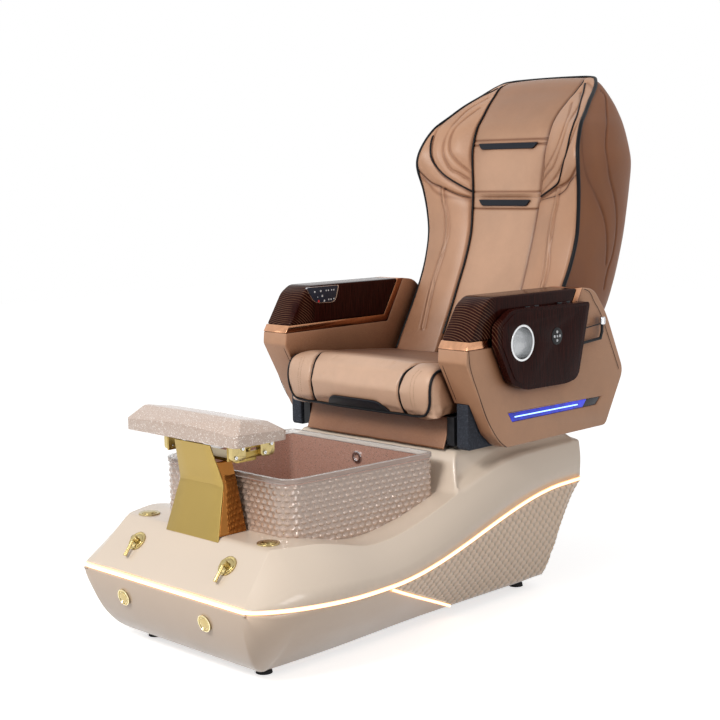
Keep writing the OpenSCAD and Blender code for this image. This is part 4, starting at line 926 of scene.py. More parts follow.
@dataclass(frozen=True)
class Veneer(Finish):
    """Dark veneer under a deep gloss lacquer."""

    def dress(self, n: Nodes, place: Wire) -> Wires:
        """Gives pores, a watered figure in patches and the lacquer."""
        timber = n.effect(Effect.TIMBER, place)
        patch = n.span(n.noise(place, 9.0, 2.0), 0.32, 0.5)
        ahead = n.span(n.split(place)[1], -0.005, -0.045)
        tone = n.blend(timber["Grain"], self.tinted(0.35), self.tinted(1.9))
        share = n.times(n.times(n.times(timber["Figure"], patch), ahead), 0.4)
        return {"Base Color": n.blend(share, tone, linear((168, 126, 96))), "Roughness": n.span(
            timber["Grain"], 0.0, 1.0, self.rough, self.rough + 0.08), "Normal": n.bump(
            timber["Grain"], 0.04, 0.0002), "Coat Weight": 0.05, "Coat Roughness": 0.04,
            "Specular IOR Level": 0.04}


@dataclass(frozen=True)
class Glow(Finish):
    """A lit diffuser."""

    light: Colour = (255, 214, 150)
    strength: float = 3.0
    fringe: Colour | None = None

    def dress(self, n: Nodes, place: Wire) -> Wires:
        """Gives the light, a little uneven from lamp to lamp."""
        lamps = n.noise(place, 35.0, 1.0)
        warm = n.blend(n.span(lamps, 0.3, 0.7), linear(self.light), self.tinted(1.0))
        if self.fringe:
            across = n.split(n.add("TexCoord", {}).outputs["UV"])[1]
            off = n.math("ABSOLUTE", n.math("SUBTRACT", across, 0.5))
            warm = n.blend(n.span(off, 0.06, 0.24), warm, linear(self.fringe))
        return {"Emission Color": warm, "Emission Strength": self.strength, "Roughness": n.span(
            lamps, 0.3, 0.7, self.rough, self.rough + 0.1)}


@dataclass(frozen=True)
class ClearResin(Finish):
    """Thick clear resin."""

    def dress(self, n: Nodes, place: Wire) -> Wires:
        """Gives clarity, a painted highlight that whitens the faces looking up or into the basin
        against a browner outer face, faint waves and smears.
        """
        normal = n.add("NewGeometry", {}).outputs["Normal"]
        top = n.span(n.split(normal)[2], 0.4, 0.8)
        apart = n.vector("ADD", place, (0.0, 0.371, -0.457)).outputs[0]
        outer = n.vector("DOT_PRODUCT", apart, normal).outputs["Value"]
        # Painted highlight: faces that look up or into the basin get the whiter colour.
        painted_highlight = n.math("MAXIMUM", top, n.span(outer, 0.03, -0.03))
        smear = n.effect(Effect.DUST, place, Amount=1.0)["Mask"]
        return {"Base Color": n.blend(painted_highlight, linear((206, 190, 180)), self.tinted(1.0)),
            "Transmission Weight": 0.6, "IOR": 1.46, "Roughness": n.span(smear, 0.0, 1.0,
            self.rough, self.rough + 0.1), "Normal": n.bump(n.noise(place, 60.0, 2.0), 0.08,
            0.001)}


# Where deep is below 1, the finish paints shade where its piece's stored relief is low.
SHELL = GelCoat("shell_gloss", "hull_gloss", (224, 207, 189), 0.28, coat=0.35)
# Painted shade: a darker, warmer copy of the shell gloss for the lower shell.
SHELL_LOW_SHADED = GelCoat("shell_gloss_low_shaded", "hull_gloss", (216, 193, 172), 0.32, coat=0.3)
SCALES = GelCoat("scale_satin", "scale_panel", (236, 209, 183), 0.36, coat=0.25, deep=0.48)
BELT = Glow("belt_glow", "belt_glow", (255, 240, 214), 0.3, light=(255, 226, 180), strength=2.2,
    fringe=(216, 142, 66))
BASIN_OUT = Glitter("basin_glitter", "basin_glitter", (218, 190, 172), 0.16, coat=1.0, flake=(250,
    236, 226), dark=(146, 110, 94), scale=620.0, deep=0.6)
BASIN_IN = Glitter("basin_glitter_deep", "basin_glitter", (186, 144, 128), 0.26, flake=(246, 214,
    200), dark=(106, 68, 58), scale=640.0, coat=1.0)
PAD = Glitter("pad_glitter", "pad_glitter", (198, 175, 160), 0.3, flake=(255, 250, 244), dark=(150,
    112, 94), scale=760.0, coat=0.5)
RIM = ClearResin("rim_resin", "rim_clear", (248, 247, 245), 0.08)
CHROME = Metal("chrome_trim", "chrome_trim", (206, 208, 212), 0.1, lines=0.08)
CUP_STEEL = Metal("cup_steel", "chrome_trim", (226, 227, 228), 0.16, lines=0.12)
GOLD = Metal("gold_sheet", "gold_metal", (166, 142, 82), 0.36, lines=0.03, spread=0.03)
# Painted reflection: a darker, browner copy of the column gold for the mirror side flanges.
GOLD_SIDE_DARKENED = Metal("gold_mirror_darkened", "gold_metal", (148, 96, 46), 0.05, lines=0.02, spread=0.02)
CHROME_GOLD = Metal("gold_bright", "gold_plastic", (226, 212, 172), 0.1, lines=0.04, spread=0.03)
GOLD_TRIM = Metal("gold_trim", "gold_plastic", (184, 166, 116), 0.18, lines=0.06, spread=0.03)
ZINC = Metal("zinc_steel", "zinc_steel", (150, 152, 156), 0.3, lines=0.2)
# Painted shade: darker in hollows such as the band's inner side.
COPPER = Metal("copper_band", "copper_band", (204, 152, 118), 0.14, lines=0.04, spread=0.1,
    hollow_shade=0.1)
FRAME = Plastic("frame_powder", "frame_steel", (30, 31, 34), 0.5)
MOTOR = Plastic("motor_black", "motor_black", (26, 27, 30), 0.5)
RUBBER = Plastic("foot_rubber", "foot_rubber", (20, 20, 22), 0.7, depth=0.0004)
BOOT = Plastic("boot_speckle", "boot_cloth", (44, 48, 56), 0.75, texture=620.0, depth=0.0012,
    speck=0.8)
TAN = Leather("tan_leather", "tan_leather", (192, 146, 115), 0.38, gloss=0.35)
WING_TAN = Leather("wing_leather", "tan_leather", (196, 151, 121), 0.38, gloss=0.4, deep=0.55)
BACK_TAN = Leather("back_leather", "tan_leather", (202, 161, 133), 0.38, gloss=0.4, deep=0.5)
SEAT_TAN = Leather("seat_leather", "seat_leather", (212, 175, 149), 0.38, gloss=0.4, deep=0.3)
# Painted shade: a darker copy of the tan leather for the rear shell.
SHELL_TAN_SHADED = Leather("shell_leather_shaded", "tan_leather", (150, 98, 66), 0.46, folds=0.35, gloss=0.2,
    deep=0.55)
NAVY = Leather("navy_leather", "navy_trim", (22, 26, 36), 0.4, grain=1100.0, gloss=0.2)
PIPE = Leather("piping", "navy_trim", (10, 12, 18), 0.4, grain=1500.0, folds=0.05, gloss=0.15)
THREAD = Leather("thread", "seat_leather", (222, 190, 162), 0.6, grain=2500.0, folds=0.0)
WOOD = Veneer("dark_veneer", "dark_wood", (44, 14, 10), 0.14)
SLATE = Plastic("panel_slate", "panel_slate", (36, 42, 56), 0.34, texture=2200.0)
ICON = Plastic("panel_icon", "panel_slate", (206, 210, 216), 0.4)
ICON_RED = Plastic("panel_icon_red", "panel_slate", (196, 40, 44), 0.4)
DISC = Plastic("disc_black", "motor_black", (14, 15, 19), 0.3)
BLUE = Glow("lamp_blue", "lamp_blue", (14, 26, 120), 0.2, light=(26, 44, 214), strength=1.0)
BLUE_DARK = Glow("lamp_dark", "lamp_blue", (6, 8, 22), 0.2, light=(4, 6, 16), strength=0.3)
BLUE_BAR = Glow("lamp_bar", "lamp_blue", (150, 190, 255), 0.2, light=(140, 184, 255), strength=2.6)


def make_piece(name: str, bm: Mesh, body: str, finish: Finish, replaces: Sequence[str] = (),
        sharp: float = 38.0, core: Vector | None = None) -> Piece:
    """Turns a mesh into a finished piece of the chair.

    Args:
        name: The piece's name.
        bm: Its mesh, freed here.
        body: The moving body that carries it.
        finish: Its finish.
        replaces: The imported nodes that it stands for.
        sharp: Edges that turn by more than this many degrees stay crisp.
        core: For an open sheet, a place in millimetres that its outside looks away from.

    Returns:
        The new object.
    """
    bmesh.ops.remove_doubles(bm, verts=bm.verts, dist=WELD)
    bmesh.ops.recalc_face_normals(bm, faces=bm.faces)
    if core is not None:
        away = sum((f.calc_center_median() - core * MM).dot(f.normal) * f.calc_area()
            for f in bm.faces)
        if away < 0:
            bmesh.ops.reverse_faces(bm, faces=bm.faces)
    mesh = bpy.data.meshes.new(name)
    bm.to_mesh(mesh)
    bm.free()
    for face in mesh.polygons:
        face.use_smooth = True
    mesh.set_sharp_from_angle(angle=radians(sharp))
    mesh.materials.append(finish.material())
    obj = placed(name, mesh)
    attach(obj, body)
    if replaces:
        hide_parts(*replaces)
    LOG.info("%s: %d faces on %s", name, len(mesh.polygons), body)
    return obj


def store_relief_shade(bm: Mesh, level: Callable[[Vector], float]) -> None:
    """Writes each vertex's relief, the mask of painted shade that the finish reads."""
    layer = bm.verts.layers.float.get("relief_shade") or bm.verts.layers.float.new("relief_shade")
    for vert in bm.verts:
        vert[layer] = level(vert.co / MM)


def dress(finish: Finish, *nodes: str) -> None:
    """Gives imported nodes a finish."""
    for node in nodes:
        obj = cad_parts[node]
        obj.data.materials.clear()
        obj.data.materials.append(finish.material())


def surface(bm: Mesh) -> BVHTree:
    """Returns a search tree of a mesh's faces."""
    bm.normal_update()
    return BVHTree.FromBMesh(bm)


def placed(name: str, data: bpy.types.ID) -> Piece:
    """Returns a new object of some data, in the scene."""
    obj = bpy.data.objects.new(name, data)
    bpy.context.scene.collection.objects.link(obj)
    return obj


def settle(obj: Piece) -> None:
    """Applies every modifier of a piece to its mesh."""
    bpy.context.view_layer.update()
    shown = obj.evaluated_get(bpy.context.evaluated_depsgraph_get())
    mesh = bpy.data.meshes.new_from_object(shown)
    obj.modifiers.clear()
    obj.data = mesh


def thicken(obj: Piece, by: float) -> None:
    """Gives a sheet thickness inwards, in millimetres."""
    solid = obj.modifiers.new("wall", "SOLIDIFY")
    solid.thickness = by * MM
    solid.offset = -1.0
    settle(obj)


def softened(node: str, name: str, body: str, finish: Finish, width: float, segments: int = 2,
        angle: float = 28.0, sharp: float = 38.0) -> None:
    """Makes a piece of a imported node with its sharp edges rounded.

    Args:
        node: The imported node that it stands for.
        name: The piece's name.
        body: The moving body that carries it.
        finish: Its finish.
        width: How wide the rounding is, in millimetres, or 0 for none.
        segments: How many steps the rounding takes.
        angle: Edges that turn by more than this many degrees are rounded.
        sharp: Edges that turn by more than this many degrees stay crisp.
    """
    bm = copied(node)
    if width:
        soften(bm, width, segments, angle)
    make_piece(name, bm, body, finish, [node], sharp)


# ---- hull ----

@dataclass(frozen=True)
class HullForm:
    """The hull's lines against the distance behind the nose, in millimetres."""

    length: float = 1243.0
    nose_half: float = 301.0
    belt_half: float = 404.0
    belt_half_at: float = 282.0
    tail_half: float = 345.0
    belt_nose_z: float = 201.0
    belt_low_z: float = 190.0
    belt_tail_z: float = 312.0
    branch_at: float = 404.0
    belt_level: float = 93.0
    skirt_z: float = 18.0
    skirt_half: float = 250.0
    skirt_front: float = 118.0
    skirt_overhang: float = 83.0
    deck_z: float = 320.0
    deck_front: float = 114.0
    deck_front_half: float = 277.0
    crest_low_z: float = 288.0
    crest_tail_z: float = 424.0
    crest_half: float = 342.0
    plateau_z: float = 458.0
    plateau_half: float = 318.0
    basin_front: float = 205.0
    riser_at: float = 704.0
    riser_len: float = 58.0
    belt_h: float = 10.0
    bulge: float = 14.0
    branch_end: float = 800.0

    @property
    def skirt_rear(self) -> float:
        """Returns where the lower edge ends."""
        return self.length - self.skirt_overhang

    def belt_x(self, d: float) -> float:
        """Returns the half width at the light belt."""
        if d < self.belt_half_at:
            return mix(self.nose_half, self.belt_half, rise(d / self.belt_half_at, 0.6))
        return mix(self.belt_half, self.tail_half, (d - self.belt_half_at) / (self.length
            - self.belt_half_at))

    def belt_z(self, d: float) -> float:
        """Returns the height of the light belt."""
        if d < self.branch_at:
            return mix(self.belt_nose_z, self.belt_low_z, ease(d / self.branch_at))
        top = self.length - self.belt_level
        return mix(self.belt_low_z, self.belt_tail_z, ease((d - self.branch_at)
            / (top - self.branch_at)))

    def crest_x(self, d: float) -> float:
        """Returns the half width at the fender crest."""
        if d < self.deck_front:
            return mix(self.nose_half, self.deck_front_half, d / self.deck_front)
        return mix(self.deck_front_half, self.crest_half, rise((d - self.deck_front)
            / (self.branch_at - self.deck_front), 0.8))

    def crest_z(self, d: float) -> float:
        """Returns the height of the fender crest, with the deck's front edge rounded."""
        soft = 8.0
        if d < self.deck_front - soft:
            return mix(self.belt_nose_z, self.deck_z, d / self.deck_front)
        if d < self.deck_front + soft:
            t = (d - self.deck_front + soft) / (2 * soft)
            low = mix(self.belt_nose_z, self.deck_z, 1 - soft / self.deck_front)
            return low * (1 - t) ** 2 + self.deck_z * (2 * t * (1 - t) + t * t)
        if d < self.branch_at:
            return mix(self.deck_z, self.crest_low_z, ease((d - self.basin_front) / (self.branch_at
                - self.basin_front)))
        top = self.length - 243
        return mix(self.crest_low_z, self.crest_tail_z, ease((d - self.branch_at)
            / (top - self.branch_at)))

    def top(self, d: float) -> tuple[float, float]:
        """Returns the half width and height of the deck or plateau."""
        lift = ease((d - self.riser_at) / self.riser_len)
        drop = ease((d - self.length + 71) / 71)
        wall = mix(self.plateau_half - 22, self.plateau_half, ease((d - 780) / 380))
        x = mix(self.crest_x(d) - 12, wall, lift)
        z = mix(mix(self.crest_z(d), self.plateau_z, lift), self.crest_tail_z + 4, drop)
        return x, z

    def skirt_x(self, d: float) -> float:
        """Returns the half width at the lower edge."""
        if d < self.skirt_front:
            return mix(self.nose_half, self.skirt_half, d / self.skirt_front)
        return mix(self.skirt_half, self.skirt_half + 15, (d - self.skirt_front) / (self.skirt_rear
            - self.skirt_front))

    def skirt_low(self, d: float) -> float:
        """Returns the height of the lower edge."""
        if d < self.skirt_front:
            drop = sqrt(1 - (1 - clamp01(d / self.skirt_front)) ** 2) ** 1.2
            return self.belt_nose_z - (self.belt_nose_z - self.skirt_z) * drop
        return mix(self.skirt_z + 9 * ease((d - 250) / 450), self.belt_tail_z - self.belt_h,
            clamp01((d - self.skirt_rear) / (self.length - self.skirt_rear)))

    def branch_w(self, d: float) -> float:
        """Returns where the branch strip crosses the side, 0 at the belt and 1 at the foot."""
        head, foot = self.belt_z(d) - self.belt_h / 2 - 0.3, self.skirt_low(d)
        run = (d - self.branch_at + 6) / (self.branch_end - self.branch_at - 30)
        return clamp01((head - mix(self.belt_z(self.branch_at) - 6, foot + 3, run))
            / (head - foot))

    def branch_d(self, w: float) -> float:
        """Returns where along the hull the branch strip reaches a place on the side."""
        lo, hi = self.branch_at - 6, self.branch_end - 36
        for _ in range(24):
            mid = (lo + hi) / 2
            lo, hi = (mid, hi) if self.branch_w(mid) < w else (lo, mid)
        return lo

    def side(self, d: float, v: float, off: float) -> Vector:
        """Returns a point of the left side, v from 0 at the belt to 1 at the lower edge."""
        return Vector((mix(self.belt_x(d), self.skirt_x(d), v) + self.bulge * sin(pi * v) + off,
            at(d), mix(self.belt_z(d) - self.belt_h / 2 - 0.3, self.skirt_low(d), v)))


@dataclass(frozen=True)
class BasinForm:
    """The basin's plan and heights, in millimetres."""

    front: float = 205.0
    rear: float = 694.0
    front_half: float = 241.0
    rear_half: float = 274.0
    front_r: float = 46.0
    rear_r: float = 20.0
    rim_z: float = 464.0
    rim_h: float = 13.0
    wall: float = 8.0
    floor_z: float = 160.0

    def plan(self, off: float, n: int) -> list[Vector]:
        """Returns the plan's closed outline moved outwards, as n even steps.

        Args:
            off: How far outwards, in millimetres.
            n: How many steps the outline takes.

        Returns:
            n + 1 places in the plan, the last one over the first.
        """
        lean = atan((self.rear_half - self.front_half) / (self.rear - self.front))
        raw = []
        for d, r, a0, a1 in ((self.front + self.front_r, self.front_r, -pi / 2, -lean),
                (self.rear - self.rear_r, self.rear_r, -lean, pi / 2)):
            line = mix(self.front_half, self.rear_half, (d - self.front) / (self.rear
                - self.front))
            for a in (mix(a0, a1, k / 16) for k in range(17)):
                raw.append(Vector((line - r / cos(lean) + (r + off) * cos(a), at(d) + (r + off)
                    * sin(a), 0)))
        return even(raw + flipped(raw) + raw[:1], n)

    def rings(self, section: Spots, n: int = 260) -> list[Path]:
        """Returns the plan as rings, one for each offset and height of a section."""
        made = {off: self.plan(off, n) for off, _ in section}
        return [[Vector((p.x, p.y, z)) for p in made[off]] for off, z in section]


class Hull:
    """The moulded shells, their light belt and strips, and the scale panels."""

    BODY = "base"
    MIDDLE = Vector((0, at(620), 150))

    def __init__(self, form: HullForm, basin: BasinForm) -> None:
        """Takes the lines of the hull and of the basin that stands in it."""
        self.form, self.basin = form, basin

    def build(self) -> None:
        """Builds and dresses the hull."""
        self.upper()
        self.lower()
        self.belt()
        self.strips()
        self.scales()
        dress(RUBBER, "levelling_feet")
        dress(FRAME, "base_frame")

    def upper_section(self, d: float) -> list[Vector]:
        """Returns the upper shell's section from its left lower edge over the top."""
        f = self.form
        cx, cz = f.crest_x(d), f.crest_z(d)
        tx, tz = f.top(d)
        bx, bz = f.belt_x(d), f.belt_z(d) + f.belt_h / 2 + 0.3
        raised = tz > cz + 20
        knee = ((tx + 9, 0, mix(cz, tz, 0.16) + 4) if raised else (mix(cx, tx, 0.5) + 3, 0,
            mix(cz, tz, 0.5)))
        brow = (mix(cx, bx, 0.5) + 5, 0, mix(cz, bz, 0.45))
        crisp = mix(3.5, 11, ease((d - 130) / 170))
        side = fillet([(bx, 0, bz), brow, (cx, 0, cz - 1), knee, (tx, 0, tz), (0, 0, tz)],
            [60, crisp, 16, 16], 7)
        edge, mid = side[-2], side[-1]
        return side[:-1] + [edge.lerp(mid, k / 30) for k in range(1, 31)]

    def upper(self) -> None:
        """Builds the upper shell with the basin's opening left free."""
        tail, turn = self.form.length, 9.0
        ds = [7 + 3 * k for k in range(12)] + [43 + 6.5 * k for k in range(184)]
        ds = [d for d in ds if d < tail - turn] + [tail - turn * (1 - sin(pi * k / 16))
            for k in range(9)]
        rings = []
        for d in ds:
            half = self.upper_section(d)
            inset = turn * round_off((d - tail + turn) / turn)
            low = half[0].z
            half = [Vector((max(0, p.x - inset * min(1, p.x / 60)), at(d), low + (p.z - low)
                * (1 - inset / 120))) for p in half]
            rings.append(half + flipped(half[:-1]))
        bm = skinned(capped(rings, (0.75, 0.45, 0.15, 0.0), lambda base: Vector((0, base[0].y,
            base[0].z))))
        self.open_for_basin(bm)
        bmesh.ops.remove_doubles(bm, verts=bm.verts, dist=WELD)
        thicken(make_piece("shell_upper", bm, self.BODY, SHELL, ["upper_hull"], 50,
            core=self.MIDDLE), 4)

    def open_for_basin(self, bm: Mesh) -> None:
        """Takes away the faces under the basin and draws their edge to its wall."""
        marks = self.basin.plan(-4, 240)

        def inside(x: float, y: float) -> bool:
            """Tells whether a place of the plan lies within the wall."""
            odd = False
            for a, b in zip(marks, marks[1:]):
                if (a.y > y) != (b.y > y) and x < (b.x - a.x) * (y - a.y) / (b.y - a.y) + a.x:
                    odd = not odd
            return odd

        lo, hi = at(self.basin.front - 2), at(self.basin.rear + 2)
        within = {v for v in bm.verts if lo < v.co.y / MM < hi and inside(v.co.x / MM, v.co.y
            / MM)}
        gone = [f for f in bm.faces if all(v in within for v in f.verts)]
        bmesh.ops.delete(bm, geom=gone, context="FACES")
        for vert in bm.verts:
            if vert in within:
                x, y = vert.co.x / MM, vert.co.y / MM
                near = min(marks, key=lambda m: (m.x - x) ** 2 + (m.y - y) ** 2)
                vert.co.xy = near.x * MM, near.y * MM

    def lower_section(self, d: float, flat: float) -> Path:
        """Returns half of the lower shell's section, from the belt to the middle."""
        side = [self.form.side(d, v / 10, 0) for v in range(11)]
        return fillet([*side, Vector((0, side[-1].y, side[-1].z))], [2.0] * 9 + [flat], 4)

    def lower(self) -> None:
        """Builds the lower shell, open between its front and rear aprons."""
        f = self.form
        ds = [0.6 * k * k + 0.5 for k in range(14)] + [108 + 8.0 * k for k in range(142)]
        rings = []
        for d in [*(d for d in ds if d < f.length - 3), f.length - 2.5]:
            near = max(bell(d - 20, 70), bell(d - f.length, 80))
            half = self.lower_section(d, 8 + 56 * near)
            rings.append(half + flipped(half[:-1]))
        top = rings[0][0].z
        rings.insert(0, [Vector((p.x, p.y, top)) for p in rings[0]])
        high = f.belt_tail_z + f.belt_h / 2 - 0.4
        rings.append([Vector((p.x * 0.99, p.y, high)) for p in rings[-1]])
        bm = skinned(rings)
        lip, lo, hi = f.skirt_x(400) - 14, at(f.skirt_front + 14), at(f.skirt_rear - 14)
        drop_faces(bm, lambda c: lo < c.y < hi and abs(c.x) < lip and c.z < 60)
        # The lower shell takes the darker gloss copy, painted shade.
        thicken(make_piece("shell_lower", bm, self.BODY, SHELL_LOW_SHADED, ["lower_hull"], 50,
            core=self.MIDDLE), 4)

    def belt(self) -> None:
        """Builds the lit belt round the hull with its rounded face."""
        f = self.form
        ds = [f.length - 3 - 9 * k for k in range(108)]
        ds = [d for d in ds if d > 270] + [270 * (1 - k / 40) ** 1.7 + 1.0 for k in range(41)]
        left = [Vector((f.belt_x(d), at(d), f.belt_z(d))) for d in ds]
        nose = [Vector((x, at(0), f.belt_nose_z)) for x in range(int(f.nose_half) - 10,
            -int(f.nose_half), -20)]

        def side(p: Vector, along: Vector) -> Vector:
            """Returns the level direction that leaves the hull at a place."""
            out = Vector((-along.y, along.x, 0)).normalized()
            return -out if out.x * p.x + out.y * (p.y - at(500)) < 0 else out

        profile = [(-8, -5.4), (-0.6, -5.4), (1.0, -4.6), (2.2, -2.6), (2.5, 0), (2.2, 2.6),
            (1.0, 4.6), (-0.6, 5.4), (-8, 5.4)]
        bm = skinned(swept(left + nose + flipped(left), profile, side))
        make_piece("belt_strip", bm, self.BODY, BELT, ["belt_light"], 60)

    def strips(self) -> None:
        """Builds the lit strips that branch down the hull's sides."""
        f = self.form
        profile = [(-0.5, -4), (2.6, -4), (3.5, -2.8), (3.8, 0), (3.5, 2.8), (2.6, 4), (-0.5, 4)]
        bm = bmesh.new()
        ds = [mix(f.branch_at - 6, f.branch_end - 36, k / 60) for k in range(61)]
        for s in (1, -1):
            path = [Vector((s * p.x, p.y, p.z)) for p in (f.side(d, f.branch_w(d), 0) for d in ds)]
            join(bm, skinned(swept(path, profile, lambda p, along: (Vector((s, 0, 0)) - along
                * along.x * s).normalized())))
        make_piece("branch_strips", bm, self.BODY, BELT, ["branch_lights"], 60)

    def scale_height(self, d: float, z: float) -> float:
        """Returns how far the pressed scales stand out.

        Args:
            d: Place along the panel, in millimetres.
            z: Place up the panel, in millimetres.

        Returns:
            A height from 0 to 1.
        """
        wide, tall, lean = 29.0, 14.5, 0.42
        x = d + lean * z
        best = 0.0
        row0 = floor(z / tall)
        for row in (row0 - 1, row0, row0 + 1):
            shift = 0.5 if row % 2 else 0.0
            col = floor(x / wide - shift + 0.5)
            cx, cz = (col + shift) * wide, row * tall
            u, w = (x - cx) / (wide * 0.5), (z - cz) / (tall * 1.45)
            if w < -0.35:
                continue
            r = hypot(u, max(0.0, w))
            if r < 1:
                level = 0.25 + 0.75 * max(0.0, w) if w >= 0 else 0.25 * (1 + w / 0.35)
                edge = ease((1 - r) / 0.12)
                best = max(best, level * edge * (1 - 0.15 * u * u))
        return best

    def scales(self) -> None:
        """Builds the two pressed scale panels of the hull's sides, with painted shade between the
        scales.
        """
        f = self.form
        bm = bmesh.new()
        for s in (1, -1):
            def place(u: float, v: float, s: int = s) -> Vector:
                """Returns a place of this side's panel."""
                w = mix(0.01, 0.98, v)
                d = mix(f.branch_d(w) + 12, f.length - 6, u)
                p = f.side(d, w, 0)
                rim = min(1.0, min(u, 1 - u) * 60, min(v, 1 - v) * 26)
                lift = 1.8 + 5.4 * self.scale_height(d, p.z) * rim
                lift = lift if 0 < min(u, 1 - u, v, 1 - v) else 0.5
                return Vector(((p.x + lift) * s, p.y, p.z))
            join(bm, skin(*(((330, 100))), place))
        # Painted shade: darker in the recesses between the scales.
        store_relief_shade(bm, lambda p: clamp01(0.1 + 1.5 * self.scale_height(p.y + NOSE_REACH, p.z)))
        make_piece("scales", bm, self.BODY, SCALES, ["scale_panels"], 75, core=Vector((0, at(850),
            150)))


# ---- basin and water ----

class Basin:
    """The glitter basin, its clear rim, and what sits in its wall and floor."""

    BODY = "base"

    def __init__(self, form: BasinForm) -> None:
        """Takes the basin's plan and heights."""
        self.form = form
        self.top = form.rim_z - form.rim_h - 0.3

    def build(self) -> None:
        """Builds and dresses the basin."""
        self.outside()
        self.inside()
        self.rim()
        softened("overflow_ring", "overflow_trim", self.BODY, CHROME, 0.6)
        softened("drain_strainer", "strainer", self.BODY, CHROME, 0.6)
        dress(MOTOR, "drain_tail", "jet_motor")
        softened("jet_cover", "jet_grille", self.BODY, GOLD_TRIM, 0.8)
        softened("jet_impeller", "jet_wheel", "impeller", CHROME, 0)

    def outside(self) -> None:
        """Builds the outer wall, covered in rows of raised drops, with painted shade between them.
        """
        f = self.form
        n, rows = ((860, 84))
        base, wide = f.plan(0, n), f.plan(1, n)
        top, low, tall = self.top, 282.0, 14.6
        length = sum((q - p).length for p, q in zip(base, base[1:]))
        pitch = length / round(length / 22.0)
        heights = {}

        def drop(s: float, z: float) -> float:
            """Returns how far a drop stands out there, from 0 to 1."""
            best = 0.0
            row0 = floor((z - low) / tall)
            for row in (row0, row0 + 1):
                shift = 0.5 * (row % 2)
                col = floor(s / pitch - shift + 0.5)
                du, dz = s - (col + shift) * pitch, z - low - row * tall
                reach = 5.0 if dz < 0 else 8.6
                wobble = 1 + 0.16 * noise.noise(Vector((col * 1.7, row * 2.3, 0)))
                r = hypot(du / 9.4, dz / reach) / wobble
                if r < 1:
                    best = max(best, (1 - r * r) * (0.55 - 0.45 * dz / reach))
            return best * clamp01((top - 4 - z) / 3)

        def key(p: Vector) -> tuple[float, float, float]:
            """Returns a place's key among the drops' heights."""
            return round(p.x, 2), round(p.y, 2), round(p.z, 2)

        def place(u: float, v: float) -> Vector:
            """Returns a place of the outer wall."""
            i = round(u * n)
            if v == 0:
                return Vector((base[i].x, base[i].y, f.floor_z - 10))
            z = mix(low, top, (v * rows - 1) / (rows - 1))
            height = drop(u * length, z)
            p = base[i] + (wide[i] - base[i]).normalized() * (height * 5.4 - 0.4)
            p.z = z
            heights[key(p)] = height
            return p

        bm = skin(n, rows, place)
        # Painted shade: darker between the drops.
        store_relief_shade(bm, lambda p: heights.get(key(p), 0.4))
        make_piece("basin_drops", bm, self.BODY, BASIN_OUT, ["basin"], 80, core=Vector((0, at(450),
            360)))

    def inside(self) -> None:
        """Builds the top edge, inner wall, rounded foot and floor, with the drain hole."""
        f, top, r = self.form, self.top, 26.0
        section = [(0.0, top - 3), (0.0, top), (-f.wall, top)]
        section += [(-f.wall, mix(top, f.floor_z + r, k / 12)) for k in range(1, 13)]
        section += [(-f.wall - r * (1 - cos(a)) * 0.7, f.floor_z + r * (1 - sin(a))) for a in (pi
            / 2 * k / 8 for k in range(1, 9))]
        rings = f.rings(section)
        hub = Vector((0, at(470), f.floor_z))
        edge = [Vector((p.x, p.y, f.floor_z)) for p in rings[-1]]
        rings += [edge, *([(p - hub) * (1 - t) + (p - hub).normalized() * 18 * t + hub
            for p in edge] for t in (k / 7 for k in range(1, 8)))]
        bm = skinned(rings)
        bmesh.ops.remove_doubles(bm, verts=bm.verts, dist=WELD)
        piece = make_piece("basin_bowl", bm, self.BODY, BASIN_IN, ["basin"], 50,
            core=Vector((0, at(450), 300)))
        piece.data.flip_normals()

    def rim(self) -> None:
        """Builds the clear rim with rounded edges."""
        f, r = self.form, 2.5
        hi, lo = f.rim_z, f.rim_z - f.rim_h
        section = []
        for off, z, start in ((4.0 - r, lo + r, pi * 1.5), (4.0 - r, hi - r, 0.0), (-f.wall + r,
                hi - r, pi / 2), (-f.wall + r, lo + r, pi)):
            section += circle(off, z, r, 16, start)[:5]
        bm = skinned(f.rings([*section, section[0]]))
        make_piece("rim_band", bm, self.BODY, RIM, ["basin_rim"], 60)


